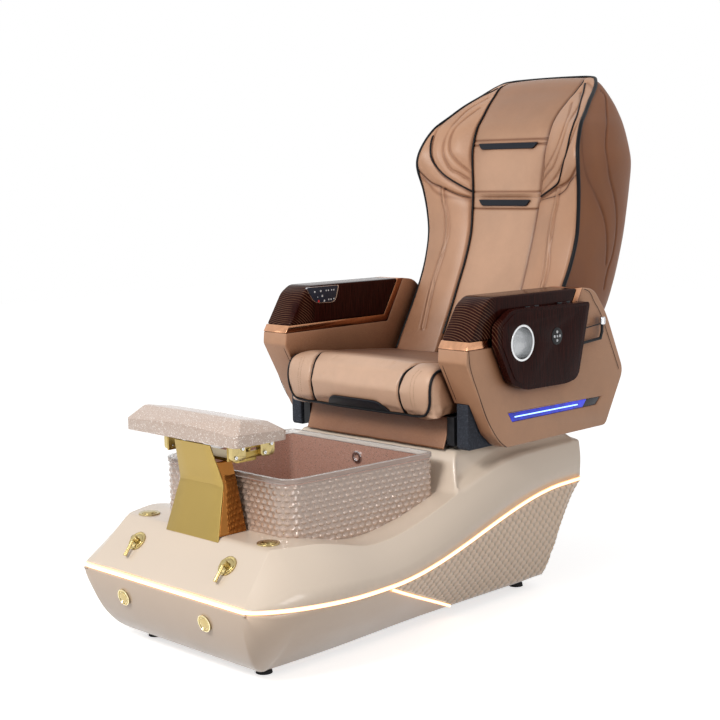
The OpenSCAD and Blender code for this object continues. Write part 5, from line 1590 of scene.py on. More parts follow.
@dataclass(frozen=True)
class Water:
    """Taps, deck buttons and nose caps."""

    wider: float = 1.3

    def build(self) -> None:
        """Builds and dresses the deck's fittings."""
        for node, name, body in (("tap_plates", "tap_rings", "base"), ("tap_lever_left",
                "lever_left", "tap_left"), ("tap_lever_right", "lever_right", "tap_right"),
                ("button_bezels", "bezel_rings", "base"), ("deck_button_left", "push_left",
                "button_left"), ("deck_button_right", "push_right", "button_right"), ("nose_caps",
                "nose_discs", "base")):
            bm = copied(node)
            if node in ("tap_plates", "nose_caps"):
                self.widen(bm)
            soften(bm, 0.7, 2)
            make_piece(name, bm, body, GOLD_TRIM, [node])
        self.cap_rings()
        dress(ZINC, "water_valves")

    @staticmethod
    def front(bm: Mesh, s: int) -> bmesh.types.BMFace:
        """Returns the widest face that looks forwards on one side."""
        return max((f for f in bm.faces if f.normal.y < -0.5 and f.verts[0].co.x * s > 0),
            key=lambda f: f.calc_area())

    def widen(self, bm: Mesh) -> None:
        """Widens each disc in its own plane."""
        for s in (1, -1):
            flat = self.front(bm, s)
            hub, out = flat.calc_center_median(), flat.normal.copy()
            for v in (v for v in bm.verts if v.co.x * s > 0):
                off = v.co - hub
                v.co = hub + out * off.dot(out) + (off - out * off.dot(out)) * self.wider

    def cap_rings(self) -> None:
        """Builds the bright ring and the inset face of each nose cap."""
        rings, faces = bmesh.new(), bmesh.new()
        caps = copied("nose_caps")
        self.widen(caps)
        for s in (1, -1):
            flat = self.front(caps, s)
            reach = sqrt(flat.calc_area() / pi) / MM
            turn = facing(flat.calc_center_median() / MM, flat.normal)
            for share, thick in ((0.96, 1.5), (0.66, 0.6)):
                tube(rings, [turn @ Vector((x, y, 0.3)) for x, y in circle(0, 0, reach * share, 40,
                    more=1)], thick)
            plate(faces, circle(0, 0, reach * 0.6, 32), turn, 0.7, 0.4)
        caps.free()
        make_piece("cap_rings", rings, "base", CHROME_GOLD)
        make_piece("cap_faces", faces, "base", GOLD_TRIM)


# ---- footrest ----

class Footrest:
    """The gold column with its sliding padded top."""

    def build(self) -> None:
        """Builds and dresses the column, bars, blocks, screws and pad."""
        for node, name, finish, width in (("footrest_bars", "slot_bars", GOLD, 1.0),
                ("footrest_blocks", "blocks", GOLD_TRIM, 1.2), ("block_screws", "screws", CHROME,
                0.3)):
            softened(node, name, "footrest", finish, width, 3)
        self.column()
        self.pad()

    def column(self) -> None:
        """Builds the folded column: a bent front sheet, two flanges in a darker gold that paints in
        their brown reflection, arms and a foot plate.
        """
        sheet, x_line = 4.0, Line([(312, 101), (430, 84), (450, 82), (543, 68)])
        front = spline([(0, 102, 309.2), (0, 120, 374), (0, 136.5, 432), (0, 138, 440),
            (0, 137, 449), (0, 131.5, 470), (0, 123, 502), (0, 112.5, 543)], 4)
        rings = []
        for p in front:
            half, back = x_line(p.z), (138 - 102) / 131
            out = Vector((0, -1, back if p.z < 436 else -0.2)).normalized()
            q = Vector((0, at(p.y), p.z))
            r = q - out * sheet
            rings.append([Vector((x, b.y - (0.0 if abs(x) < half else 0.4), b.z)) for x,
                b in ((-half, q), (-half * 0.5, q), (0, q), (half * 0.5, q), (half, q), (half, r),
                (0, r), (-half, r), (-half, q))])
        bm, sides, part = bmesh.new(), bmesh.new(), skinned(rings, True)
        soften(part, 0.9, 2, 60)
        join(bm, part)
        lead, rear = (Line([(321, a), (440, b), (500, c)]) for a, b, c in ((109, 140, 128),
            (196, 184, 176)))
        for s in (1, -1):
            rings = []
            for z in (mix(321, 500, k / 40) for k in range(41)):
                x0, x1, y0, y1 = s * (x_line(z) - 0.3), s * (x_line(z) - sheet), lead(z), rear(z)
                rings.append([Vector((x, at(y), z)) for x, y in ((x0, y0), (x0, y1), (x1, y1),
                    (x1, y0), (x0, y0))])
            part = skinned(rings, True)
            soften(part, 0.8, 2, 60)
            join(sides, part)
        for half, d0, d1, r0, r1, z, thick in ((117, 158, 226, 8, 14, 498.2, 7.6), (95, 144, 192,
                2, 2, 320.5, 3.0)):
            plate(bm, round_outline([(-half, at(d0), r0), (half, at(d0), r0), (half, at(d1), r1),
                (-half, at(d1), r1)]), Matrix.Translation((0, 0, z)), thick, 1.0)
        for s in (1, -1):
            turn = side_turn(s, s * 104.3)
            plate(bm, round_outline([(at(188.5), 503, 0), (at(207.5), 503, 0), (at(207.5), 532, 7),
                (at(188.5), 532, 7)]), turn, 3.8, 0.6)
            plate(bm, circle(at(198), 526.3, 3.9, 20), Matrix.Translation((s * 2.6, 0, 0)) @ turn,
                10.6, 0.6)
        make_piece("column", bm, "base", GOLD, ["footrest_column"], 34)
        # The flanges take the darker gold copy that paints in their brown reflection.
        make_piece("column_sides", sides, "base", GOLD_SIDE_DARKENED)

    def pad(self) -> None:
        """Builds the footrest's glitter pad with its peaked front."""
        half, deep, tall, low, front = 213.0, 172.0, 62.0, 556.0, 70.0
        bm = bmesh.new()
        points = []
        for s in (-1, 1):
            for k in range(7):
                a = pi / 2 * k / 6
                points += [(s * (half - 14 + 14 * sin(a)), 16 - 14 * cos(a), z) for z in (1.5,
                    30.0 + k / 3)]
                points += [(s * (half - 20 + 20 * cos(a)), deep - 20 + 20 * sin(a), z)
                    for z in (1.5, 26.0 - k * 0.7)]
            points += [(s * (half - 27), 43, tall - 1), (s * (half - 34), 50, tall),
                (s * (half - 33), deep - 40, tall - 14), (s * (half - 44), deep - 34, 46)]
        points += [(0, 3.5, 41), (0, 6, 42), (0, 50, tall), (0, deep - 36, tall - 13)]
        for x, d, z in points:
            bmesh.ops.create_vert(bm, co=(x * MM, at(front + d) * MM, (low + z) * MM))
        bmesh.ops.convex_hull(bm, input=bm.verts)
        loose = [v for v in bm.verts if not v.link_faces]
        bmesh.ops.delete(bm, geom=loose, context="VERTS")
        bmesh.ops.dissolve_limit(bm, angle_limit=radians(2), verts=bm.verts, edges=bm.edges)
        soften(bm, 5.0, 4, 9)
        make_piece("foot_pad", bm, "footrest", PAD, ["footrest_pad"], 30)


# ---- seat ----

@dataclass(frozen=True)
class SeatForm:
    """The seat cushion's sizes, in millimetres."""

    front: float = 672.0
    rear: float = 1130.0
    half: float = 279.0
    low: float = 548.0
    front_z: float = 686.0
    rear_z: float = 655.0
    edge: float = 24.0
    inset: float = 15.0


class Seat:
    """The seat cushion with its welts and stitching, the apron, the boots and the frame."""

    BODY = "seat"

    def __init__(self, form: SeatForm) -> None:
        """Takes the cushion's sizes."""
        self.form = f = form
        knots = [(f.rear - 6, f.low + 1), (f.front + 60, f.low + 1), (f.front + 30, f.low + 2),
            (f.front + 20, f.low + 9), (f.front + 6, f.low + 46), (f.front + 0.5, f.low + 74),
            (f.front + 4, f.front_z - 36), (f.front + 17, f.front_z - 15), (f.front + 40, f.front_z
            - 3), (f.front + 74, f.front_z), (850, mix(f.front_z, f.rear_z, 0.28)),
            (1000, mix(f.front_z, f.rear_z, 0.65)), (f.rear - 24, f.rear_z), (f.rear - 7, f.rear_z
            - 8), (f.rear - 1, f.rear_z - 30), (f.rear - 1, f.low + 12), (f.rear - 6, f.low + 1)]
        self.profile = spline([(0, d, z) for d, z in knots], 5.0)

    def channel(self, d: float) -> float:
        """Returns how far from the middle the inner seam runs."""
        return mix(168, 208, clamp01((d - self.form.front - 5) / 110))

    def spot(self, p: Vector, x: float, sewn: float = 6.5) -> Vector:
        """Returns a place of the cushion's skin.

        Args:
            p: A place of its middle profile.
            x: Distance from the middle.
            sewn: How deep the inner seams pull in.

        Returns:
            The place, in millimetres.
        """
        f = self.form
        pull = f.inset * round_off(clamp01((abs(x) - f.half + f.edge) / f.edge))
        seam = sewn * bell(abs(x) - self.channel(p.y), 6.0)
        crown = 5 * (x / f.half) ** 2 - 2.0 * bell(abs(x) - self.channel(p.y) - 34, 26)
        t = pull + seam + crown
        front = clamp01((f.front + 40 - p.y) / 40)
        back = clamp01((p.y - f.rear + 20) / 20)
        lift = clamp01((p.z - f.low - 12) / 60)
        droop = 6.0 * ease((f.low + 70 - p.z) / 60) * ease((f.front + 78 - p.y) / 40)
        return Vector((x, at(p.y + t * front - pull * back * lift), p.z - t * lift - droop))

    def build(self) -> None:
        """Builds and dresses the seat unit's middle."""
        self.cushion()
        self.rear_shade_pan()
        self.apron()
        softened("side_boots", "boots", self.BODY, BOOT, 5.0, 4)
        dress(ZINC, "seat_rails")
        dress(MOTOR, "slide_motor", "recline_motor")
        dress(FRAME, "seat_frame")

    def rear_shade_pan(self) -> None:
        """Builds the folded black pan that closes the gap behind the cushion and also stands in for
        the shadow there.
        """
        fold = fillet([(1112, 0, 560), (1208, 0, 562), (1222, 0, 642)], [10], 4)
        bm = skinned([[Vector((x, at(p.x), p.z)) for p in fold] for x in (-284, -142, 0, 142,
            284)])
        thicken(make_piece("rear_shade_pan", bm, self.BODY, FRAME), 2)

    def cushion(self) -> None:
        """Builds the cushion's skin with painted shade on its top, its tab, its welts and its twin
        stitching.
        """
        f, n = self.form, 168
        plain = 0.0
        rings = [[self.spot(p, mix(-f.half, f.half, k / n), plain) for p in self.profile]
            for k in range(n + 1)]
        bm = skinned(capped(rings, (0.985, 0.94, 0.8, 0.5, 0.2, 0.0), lambda base: Vector(
            (base[0].x, at(900), 610))), True)
        bm = Pads.stuffed(bm, 2.5, 3.0, 5.0)
        bm.normal_update()
        for vert in bm.verts:
            x, d = abs(vert.co.x) / MM, vert.co.y / MM + NOSE_REACH
            vert.co -= vert.normal * 6.0 * bell(x - self.channel(d), 5.5) * MM
        tree = surface(bm)
        # Painted shade: the seat's top behind its front roll is darkened.
        store_relief_shade(bm, lambda p: 1 - ease((p.y + NOSE_REACH - f.front - 30) / 150)
            * ease((p.z - f.low - 60) / 30))
        make_piece("seat_pad", bm, self.BODY, SEAT_TAN, ["seat_cushion"], 60)
        spot, out, _, _ = tree.find_nearest(Vector((0, at(f.front + 12), f.low + 22)) * MM)
        out = Vector((0, out.y, out.z)).normalized()
        tab = bmesh.new()
        plate(tab, round_outline([(-120, -22, 5), (120, -22, 5), (92, 14, 22), (-92, 14, 22)]),
            facing(spot / MM - out, out), 4.4, 1.4)
        make_piece("front_tab", tab, self.BODY, NAVY, ["seat_tab"], 40)
        welts, threads = bmesh.new(), bmesh.new()
        for s in (1, -1):
            inner = [self.spot(p, s * self.channel(p.y)) for p in self.profile if p.z > f.low + 4
                and p.y < 1080]
            tube(welts, snap(tree, inner, 1.6, 5, 16)[0], 2.6)
            rows = [self.spot(p, s * (self.channel(p.y) + 48)) for p in self.profile if p.z > f.low
                + 6 and p.y < f.front + 30]
            path, outs = snap(tree, rows, 0.2, 5)
            for by in (-5.5, 5.5):
                stitch(threads, shifted(path, outs, by), outs)
        half = [self.spot(p, f.half - 6) for p in self.profile if p.z > f.low + 62 and p.y < 1080][
            ::-1]
        foot, last, reach = f.low - 1.0, half[-1], 46.0
        half += [Vector((last.x - reach * (1 - cos(a)), mix(last.y, at(f.front + 18), a / 1.57),
            mix(last.z, foot, sin(a)))) for a in (0.25, 0.5, 0.75, 1.0, 1.25, 1.57)]
        flat = [Vector((x, at(f.front + 19), foot)) for x in range(200, -201, -40)]
        tube(welts, snap(tree, half + flat + flipped(half), 1.4, 5, 12)[0], 3.6)
        make_piece("seat_welts", welts, self.BODY, PIPE)
        make_piece("seat_threads", threads, self.BODY, THREAD)

    def apron(self) -> None:
        """Builds the leather flap that hangs before the slide."""
        def place(u: float, v: float) -> Vector:
            """Returns a place of the flap."""
            wave = 1.1 * sin(u * 31) * (1 - v) + 0.8 * sin(u * 13 + 1)
            return Vector((mix(-262, 262, u), at(765.6 - 20 * (1 - v) ** 2 + wave * 0.6),
                mix(460.5 + 0.4 * abs(wave), 546, v)))

        piece = make_piece("apron_flap", skin(120, 16, place), self.BODY, TAN, ["apron"])
        thicken(piece, 1.6)


# ---- arm pods ----

class Arms:
    """The two arm pods with wooden caps, copper bands, lamps and the control panel."""

    BODY = "seat"
    FRONT_SEAM = ((386, 706, 735), (386, 712, 690), (387, 744, 619), (387, 778, 549), (386, 822,
        490), (386, 856, 465))
    REAR_SEAM = ((386, 1200, 858), (387, 1226, 848), (387, 1244, 822), (387, 1284, 772),
        (387, 1366, 618))
    INNER_SEAM = ((303, 706, 735), (303, 710, 690), (303, 742, 619), (303, 770, 570))
    MARKS = ((812, 847, 3.0), (836, 848, 3.4), (858, 848, 2.6), (867, 848, 2.6), (880, 848, 2.6),
        (889, 848, 2.6), (842, 833, 3.4), (823, 831, 1.6), (850, 819, 3.2), (868, 821, 2.6),
        (877, 821, 2.6), (889, 822, 2.6))

    def build(self) -> None:
        """Builds and dresses the pods."""
        for node, name, finish, width, fill in (("pod_left", "pod_cover_left", TAN, 9.0, 0.9),
                ("pod_right", "pod_cover_right", TAN, 9.0, 0.9), ("arm_cap_left", "cap_left", WOOD,
                6.0, None), ("arm_cap_right", "cap_right", WOOD, 6.0, None), ("arm_bands", "bands",
                COPPER, 0.9, None), ("tray_brackets", "hinges", FRAME, 0.4, None)):
            softened(node, name, self.BODY, finish, width, 5 if width > 2 else 2, 35, 35)
        self.seams()
        self.lamps()
        self.panel()

    def seams(self) -> None:
        """Builds the pods' dark seams with a row of thread beside each."""
        cords, threads = bmesh.new(), bmesh.new()
        for s, node in ((1, "pod_left"), (-1, "pod_right")):
            tree = surface(copied(node))
            for line in (self.FRONT_SEAM, self.REAR_SEAM, self.INNER_SEAM):
                path, outs = snap(tree, [(s * x, at(d), z) for x, d, z in line], 0.0, 5)
                tube(cords, path, 0.8)
                if line is not self.INNER_SEAM:
                    rows = [p + o * 0.2 for p, o in zip(shifted(path, outs, 4), outs)]
                    stitch(threads, rows, outs, pitch=5.5, length=4.0, thick=0.45)
        make_piece("pod_seams", cords, self.BODY, PIPE)
        make_piece("pod_threads", threads, self.BODY, THREAD)

    def lamps(self) -> None:
        """Builds the side lamps: a blue lens, its dark rear end and a white bar."""
        lit, dark, bar = bmesh.new(), bmesh.new(), bmesh.new()
        low, high = Line([(884, 529.4), (1256, 527.4)]), Line([(868, 552.6), (1280, 546.7)])
        for s in (1, -1):
            turn = side_turn(s, s * 378.3)
            plate(lit, [(at(868.6), 552.4), (at(884), 529.4), (at(1196), low(1196)), (at(1214),
                high(1214))], turn, 6.0, 0.8)
            plate(dark, [(at(1215), high(1215)), (at(1197), low(1197)), (at(1255), 527.5),
                (at(1278), 546.6)], turn, 5.6, 0.8)
            plate(bar, round_outline([(at(893), 539.4, 1.4), (at(1172), 536.4, 1.4), (at(1172),
                539.6, 1.4), (at(893), 542.6, 1.4)]), turn, 7.4, 1.0)
        make_piece("lamp_lens", lit, self.BODY, BLUE, ["pod_lamps"])
        make_piece("lamp_end", dark, self.BODY, BLUE_DARK)
        make_piece("lamp_bar", bar, self.BODY, BLUE_BAR)

    def panel(self) -> None:
        """Builds the touch panel of the sitter's right arm with its border and marks."""
        turn, hub = side_turn(1, -289.7), Vector((at(848), 840))
        outline = round_outline([(at(776), 862, 7), (at(808), 814, 22), (at(896), 810, 20),
            (at(912), 861, 7)])
        edge, face, marks, red = (bmesh.new() for _ in range(4))
        plate(edge, outline, turn, 1.9, 0.5)
        plate(face, [hub + (p - hub) * 0.945 for p in outline], turn, 2.4, 0.6)
        for d, z, size in self.MARKS:
            plate(marks, circle(at(d), z, size, 5, d), turn, 2.7)
        plate(red, circle(at(827), 819, 3.6, 10), turn, 2.7)
        make_piece("panel_border", edge, self.BODY, CHROME, ["control_panel"], 30)
        make_piece("panel_face", face, self.BODY, SLATE, ["control_panel"], 30)
        make_piece("panel_marks", marks, self.BODY, ICON)
        make_piece("panel_red_mark", red, self.BODY, ICON_RED)


class Trays:
    """The two flip-up trays with cups, discs and handles."""

    def build(self) -> None:
        """Builds and dresses both trays."""
        for side, body, s in (("left", "tray_l", 1), ("right", "tray_r", -1)):
            for node, name, finish, width, angle in (("tray", "tray_board", WOOD, 2.5, 40),
                    ("tray_handles", "handle", MOTOR, 0.5, 60), ("cup", "cup_well", CUP_STEEL, 0.5,
                    40), ("tray_disc", "disc", DISC, 0.6, 40)):
                softened(f"{node}_{side}", f"{name}_{side}", body, finish, width, 4, angle, 40)
            self.marks(side, body, s)
            self.knob(side, body, s)

    def marks(self, side: str, body: str, s: int) -> None:
        """Builds the round marks of a tray's disc."""
        bm = bmesh.new()
        for d, z, r in ((0, 0, 3.2), (0, 11.5, 4.0), (0, -11.5, 4.0), (11.5, 0, 4.0), (-11.5, 0,
                4.0)):
            plate(bm, circle(at(1035) + d, 745 + z, r, 8), side_turn(s, s * 417.8), 0.6)
        make_piece(f"disc_marks_{side}", bm, body, ICON)

    def knob(self, side: str, body: str, s: int) -> None:
        """Builds the bright knob of a tray's handle."""
        profile = spline([(0.01, 0, 754.6), (5.6, 0, 755.2), (9.3, 0, 758.4), (9.5, 0, 766),
            (9.3, 0, 773.4), (6.8, 0, 777.2), (0.01, 0, 777.6)], 1.6)
        hub = Vector((s * 405.25, at(1258), 0))
        bm = skinned([[Vector((p.x * x, p.x * y, p.z)) + hub for p in profile] for x,
            y in circle(0, 0, 1, 28, more=1)])
        make_piece(f"knob_{side}", bm, body, CHROME)


# ---- backrest ----

class Backrest:
    """The reclining back: shell, wings, two sewn cushions, welts and tabs."""

    BODY = "back"
    ROWS = ((648, 268, 1128, 127, 1160, 1440), (700, 271, 1160, 127, 1186, 1490), (780, 272, 1208,
        126, 1226, 1556), (852, 274, 1250, 124, 1258, 1590), (916, 278, 1280, 122, 1286, 1609),
        (993, 283, 1302, 122, 1313, 1627), (1060, 288, 1303, 127, 1328, 1637), (1130, 296, 1294,
        131, 1337, 1642), (1204, 306, 1276, 138, 1343, 1640), (1253, 299, 1285, 142, 1350, 1634),
        (1314, 280, 1326, 144, 1374, 1624), (1350, 260, 1376, 145, 1404, 1616), (1384, 239, 1425,
        151, 1438, 1603), (1414, 216, 1478, 156, 1473, 1584), (1439, 194, 1518, 158, 1501, 1562),
        (1456, 170, 1546, 148, 1528, 1564))
    PLEATS = (((177, 1470, 1410), (212, 1415, 1374), (223, 1361, 1331), (228, 1323, 1282),
        (221, 1308, 1239), (197, 1310, 1196), (168, 1323, 1177), (138, 1339, 1157)),
        ((175, 1428, 1379), (199, 1380, 1342), (211, 1338, 1300), (203, 1317, 1251), (176, 1323,
        1214), (140, 1342, 1182)), ((302, 1279, 1192), (265, 1293, 1154), (220, 1303, 1135),
        (171, 1316, 1115), (134, 1334, 1104)), ((172, 1509, 1438), (215, 1480, 1415), (243, 1417,
        1378), (263, 1359, 1338), (266, 1317, 1295), (260, 1295, 1252), (248, 1293, 1215),
        (212, 1305, 1168), (133, 1338, 1118)))
    WELTED = (((222, 1303, 1133), (214, 1303, 1090), (203, 1302, 1050), (198, 1297, 1000),
        (199, 1284, 960), (206, 1270, 909), (209, 1243, 849), (204, 1209, 778), (196, 1178, 714)),)
    WELTS = (((-168, 1509, 1440), (-215, 1480, 1415), (-243, 1417, 1378), (-267, 1359, 1338),
        (-272, 1317, 1295), (-264, 1295, 1252), (-251, 1293, 1215), (-210, 1305, 1172),
        (-133, 1338, 1124)), ((168, 1504, 1438), (206, 1432, 1386), (249, 1349, 1326), (258, 1303,
        1264), (253, 1294, 1224), (241, 1295, 1185), (224, 1301, 1151), (183, 1313, 1128),
        (133, 1335, 1109)))
    FINE = (((-302, 1279, 1192), (-265, 1293, 1154), (-220, 1303, 1135), (-171, 1316, 1115),
        (-134, 1334, 1104)), ((296, 1285, 1170), (269, 1292, 1151), (251, 1298, 1128), (211, 1304,
        1110), (129, 1336, 1095)))
    SHELL_SEAMS = (((213, 1515, 1416), (226, 1523, 1398), (255, 1490, 1356), (290, 1438, 1280),
        (301, 1422, 1228), (300, 1439, 1171), (290, 1478, 1112), (282, 1504, 1053), (275, 1510,
        988), (271, 1498, 929), (269, 1475, 883), (265, 1465, 836)), ((285, 1324, 1297),
        (302, 1304, 1229), (301, 1324, 1173), (294, 1379, 1115), (288, 1422, 1067), (283, 1449,
        1020), (278, 1462, 961), (273, 1464, 908)))

    def __init__(self) -> None:
        """Prepares the back's lines against height and how finely it is meshed."""
        self.outer, self.outer_d, self.inner, self.inner_d, self.rear = (Line([(r[0], r[k])
            for r in self.ROWS]) for k in range(1, 6))
        self.fine = 1.0

    def build(self) -> None:
        """Builds and dresses the back."""
        self.shell()
        cover = self.wings()
        self.pads()
        self.welts()
        self.covered_welts(cover)
        self.tabs()
        dress(FRAME, "back_frame")

    def tabs(self) -> None:
        """Builds the two dark pull tabs under the cross seams."""
        bm = bmesh.new()
        for z, half, crown in ((1258.0, 112.0, 9.3), (1090.0, 98.0, 7.6)):
            lean = atan2(self.inner_d(z + 9) - self.inner_d(z - 9), 18)
            turn = (Matrix.Translation((0, at(self.inner_d(z) + 4) - crown, z)) @ Matrix.Rotation(
                pi / 2 - lean, 4, "X"))
            plate(bm, round_outline([(-half + 13, -9, 7), (half - 13, -9, 7), (half, 9, 2.5),
                (-half, 9, 2.5)]), turn, 3.0, 1.2)
        make_piece("pull_tabs", bm, self.BODY, NAVY, ["back_tabs"], 40)

    def shell_spot(self, z: float, turn: float) -> Vector:
        """Returns a place of the rear shell, turn running from 0 on the left to 1 on the right."""
        a = pi * turn
        foot = ease((z - 604) / 22)
        w = self.outer(z) - mix(14, 0, foot)
        f, d = self.outer_d(z) + 9.5, self.rear(z) - mix(14, 0, foot)
        return Vector((w * copysign(abs(cos(a)) ** 0.3, cos(a)), at(f) + (d - f) * sin(a) ** 0.5,
            z))

    def shell(self) -> None:
        """Builds the leather-covered rear shell with its long seams and hinge openings, in a darker
        copy of the leather and with painted shade along the seams.
        """
        nz, na = round(150 * self.fine), round(190 * self.fine)
        seams = Seams(self.both(self.SHELL_SEAMS), depth=3.6, width=3.6, puff=1.0, reach=40)
        mid = Vector((0, at(1480), 1000))
        low, top, roll = 604, 1453.0, 24.0
        rings = []
        for z in (mix(low, top, k / nz) for k in range(nz + 1)):
            inset = roll * round_off((z - top + roll) / roll)
            ring = []
            for t in (0.5 - 0.5 * cos(pi * k / na) for k in range(na + 1)):
                p = self.shell_spot(z, t)
                out = Vector((p.x - mid.x, p.y - mid.y, 0)).normalized()
                hold = ease(min(t, 1 - t) * 30)
                ring.append(p + out * (min(0.9, seams.lift(p)) * hold - inset * hold))
            rings.append(ring)
        bm = skinned(capped(rings, (0.8, 0.5, 0.2, 0.0), lambda base: Vector((0,
            (base[0].y + base[na // 2].y) / 2, low if base is rings[0] else top))))
        drop_faces(bm, lambda c: c.z < 670 and at(1180) < c.y < at(1320) and 122 < abs(c.x) < 158)
        # Painted shade: darker along the seams' grooves.
        store_relief_shade(bm, lambda p: clamp01(1 + (seams.lift(p) - 1) / 4))
        tree = surface(bm)
        # The shell takes the darker leather copy, painted shade.
        thicken(make_piece("shell_cover", bm, self.BODY, SHELL_TAN_SHADED, ["back_shell"], 60, core=mid),
            4)
        cords, threads = bmesh.new(), bmesh.new()
        panel = [(mix(104, 138, ease((z - 652) / 768)), at(self.rear(z)), z) for z in (652 + 24.0
            * k for k in range(33))]
        for line in (panel, [(-x, y, z) for x, y, z in panel], [(12.0 * k, at(self.rear(704)), 704)
                for k in range(-9, 10)]):
            path, outs = snap(tree, line, 0.2, 5)
            tube(cords, path, 0.9)
            for by in (-6.5, 6.5):
                stitch(threads, shifted(path, outs, by), outs, pitch=6.5)
        make_piece("shell_seams", cords, self.BODY, PIPE)
        make_piece("shell_threads", threads, self.BODY, THREAD)

    @staticmethod
    def both(lines: Sequence[Spots], beside: Sequence[float] = (0,)) -> list[Path]:
        """Returns lines and their mirror images, each moved sideways by each of some steps."""
        return [[Vector((s * abs(x), at(d), z)) + Vector((q, 0, 0)) for x, d, z in line]
            for line in lines for s in (1, -1) for q in beside]

    def wing_spot(self, s: int, z: float, t: float) -> Vector:
        """Returns a place of a wing's cover.

        Args:
            s: 1 for the left wing and -1 for the right one.
            z: Its height.
            t: From 0 beside the centre cushion to 1 at the outer welt.

        Returns:
            The place, in millimetres.
        """
        swell = 14 * sin(pi * clamp01((z - 600) / 840))
        d = (mix(self.inner_d(z), self.outer_d(z), t) - swell * sin(pi * t ** 0.8) + 3 * (1 - t))
        return Vector((s * mix(self.inner(z) + 0.4, self.outer(z), t), at(d), z))

    def wings(self) -> BVHTree:
        """Builds the two sewn side wings with their pleats and painted shade along them, and
        returns their surface.
        """
        nz, nt = round(290 * self.fine), round(60 * self.fine)
        sewn = (Seams(self.both(self.PLEATS), depth=3.4, width=3.2, puff=4.2, reach=18),
            Seams(self.both(self.WELTED), depth=-4.2, width=4.0, puff=0.0),
            Seams(self.both(self.WELTED, (-9, 9)), depth=2.0, width=3.0, puff=0.0))
        bm = bmesh.new()
        for s in (1, -1):
            rings = []
            for z in (mix(648, 1456, k / nz) for k in range(nz + 1)):
                inset = 10 * round_off((z - 1446) / 10)
                ring = []
                for t in (j / nt for j in range(nt + 1)):
                    p = self.wing_spot(s, z, t)
                    side = self.wing_spot(s, z, min(1, t + 0.02)) - self.wing_spot(s, z,
                        max(0, t - 0.02))
                    out = side.cross(Vector((0, 0, 1))) * s
                    out = -out.normalized() if out.y > 0 else out.normalized()
                    hold = ease(min(t / 0.06, (1 - t) / 0.08))
                    fold = 1.6 * noise.noise(Vector((p.x / 60, z / 38, s))) * ease((900 - z)
                        / 200) + 0.7 * noise.noise(Vector((p.x / 34, z / 90, 3)))
                    lift = (sum(seam.lift(p) for seam in sewn) + fold) * hold
                    edge = 3.5 * ease((t - 0.93) / 0.07) + 1.5 * ease((0.05 - t) / 0.05)
                    ring.append(p + out * (lift - edge) + Vector((0, inset, 0)))
                d1, w0, w1 = self.outer_d(z), self.inner(z) + 0.4, self.outer(z)
                rear = max(min(self.inner_d(z) + 34, self.rear(z) - 7), d1 + 9)
                ring += [Vector((s * x, at(d), z)) for x, d in ((w1 - 2, d1 + 9), (w1 - 14,
                    d1 + 10), (w0 + 1, rear))]
                rings.append([*ring, ring[0]])
            join(bm, skinned(capped(rings, (0.9, 0.6, 0.3, 0.0)), True))
        cover = surface(bm)
        # Painted shade: darker along the pleats, welts and fine seams, stored as the relief.
        shade = (Seams(self.both(self.PLEATS), depth=0.7, width=3.6, puff=0.0),
            Seams(self.both(self.WELTED, (-6.5, 6.5)), depth=0.7, width=2.6, puff=0.0),
            Seams(self.both(self.FINE), depth=0.9, width=6.0, puff=0.0))
        store_relief_shade(bm, lambda p: clamp01(1 + sum(seam.lift(p) for seam in shade)))
        make_piece("wing_covers", bm, self.BODY, WING_TAN, ["back_wings"], 60)
        return cover

    def pads(self) -> None:
        """Builds the lower centre cushion and the head cushion with its cross seams, with painted
        shade at the seams, the sides and the head's top.
        """
        for name, node, z0, z1, crown, seams_at in (("back_pad", "back_cushion", 652.0, 1105.8,
                7.0, (1072.0,)), ("head_pad", "head_cushion", 1106.2, 1456.0, 9.0, (1122.0, 1262.0,
                1276.0))):
            head = name == "head_pad"
            nz, nx = round((z1 - z0) / 2.4 * self.fine), round(104 * self.fine)
            rings = []
            for z in (mix(z0, z1, k / nz) for k in range(nz + 1)):
                w = self.inner(z) - 0.3
                full = clamp01(0.2 + min(z - z0, 40.0 if head else z1 - z) / 18)
                roll = max(0.0, (z - 1440) / 16) if head else 0.0
                inset = 14 * round_off(roll)
                groove = sum(2.4 * bell(z - q, 2.4) for q in seams_at)
                ring = []
                for u in (j / nx * 2 - 1 for j in range(nx + 1)):
                    side = 2.6 * ease((abs(u) - 0.93) / 0.07)
                    soft = 0.9 * noise.noise(Vector((u * 2.2, z / 70, 7)))
                    out = crown * full * (1 - u ** 4) + soft * (1 - u * u) - groove
                    ring.append(Vector((u * w, at(self.inner_d(z) + 4 - out + side + inset),
                        z + 4.0 * roll * (1 - u * u))))
                rear = min(self.inner_d(z) + 34, self.rear(z) - 7)
                rings.append([*ring, Vector((w, at(rear), z)), Vector((-w, at(rear), z)), ring[0]])
            bm = skinned(capped(rings, (0.93, 0.7, 0.35, 0.0)), True)
            # Painted shade: darker towards the head's top, along the cross seams and at the sides.
            store_relief_shade(bm, lambda p, q=seams_at: clamp01(1 - 0.75 * ease((p.z - 1180) / 240)
                - 0.8 * sum(bell(p.z - z, 4.0) for z in q) - 0.5 * ease((abs(p.x) - self.inner(p.z)
                + 16) / 16)))
            make_piece(name, bm, self.BODY, BACK_TAN, [node], 60)

    @staticmethod
    def heights() -> list[float]:
        """Returns the even heights that the long welts pass."""
        return [mix(652, 1452, k / 130) for k in range(131)]

    def joint(self, depth: float, zs: Sequence[float], s: int = 1) -> Path:
        """Returns the line between a wing and the centre cushions at some heights."""
        return [Vector((s * self.inner(z), at(self.inner_d(z) + depth), z)) for z in zs]

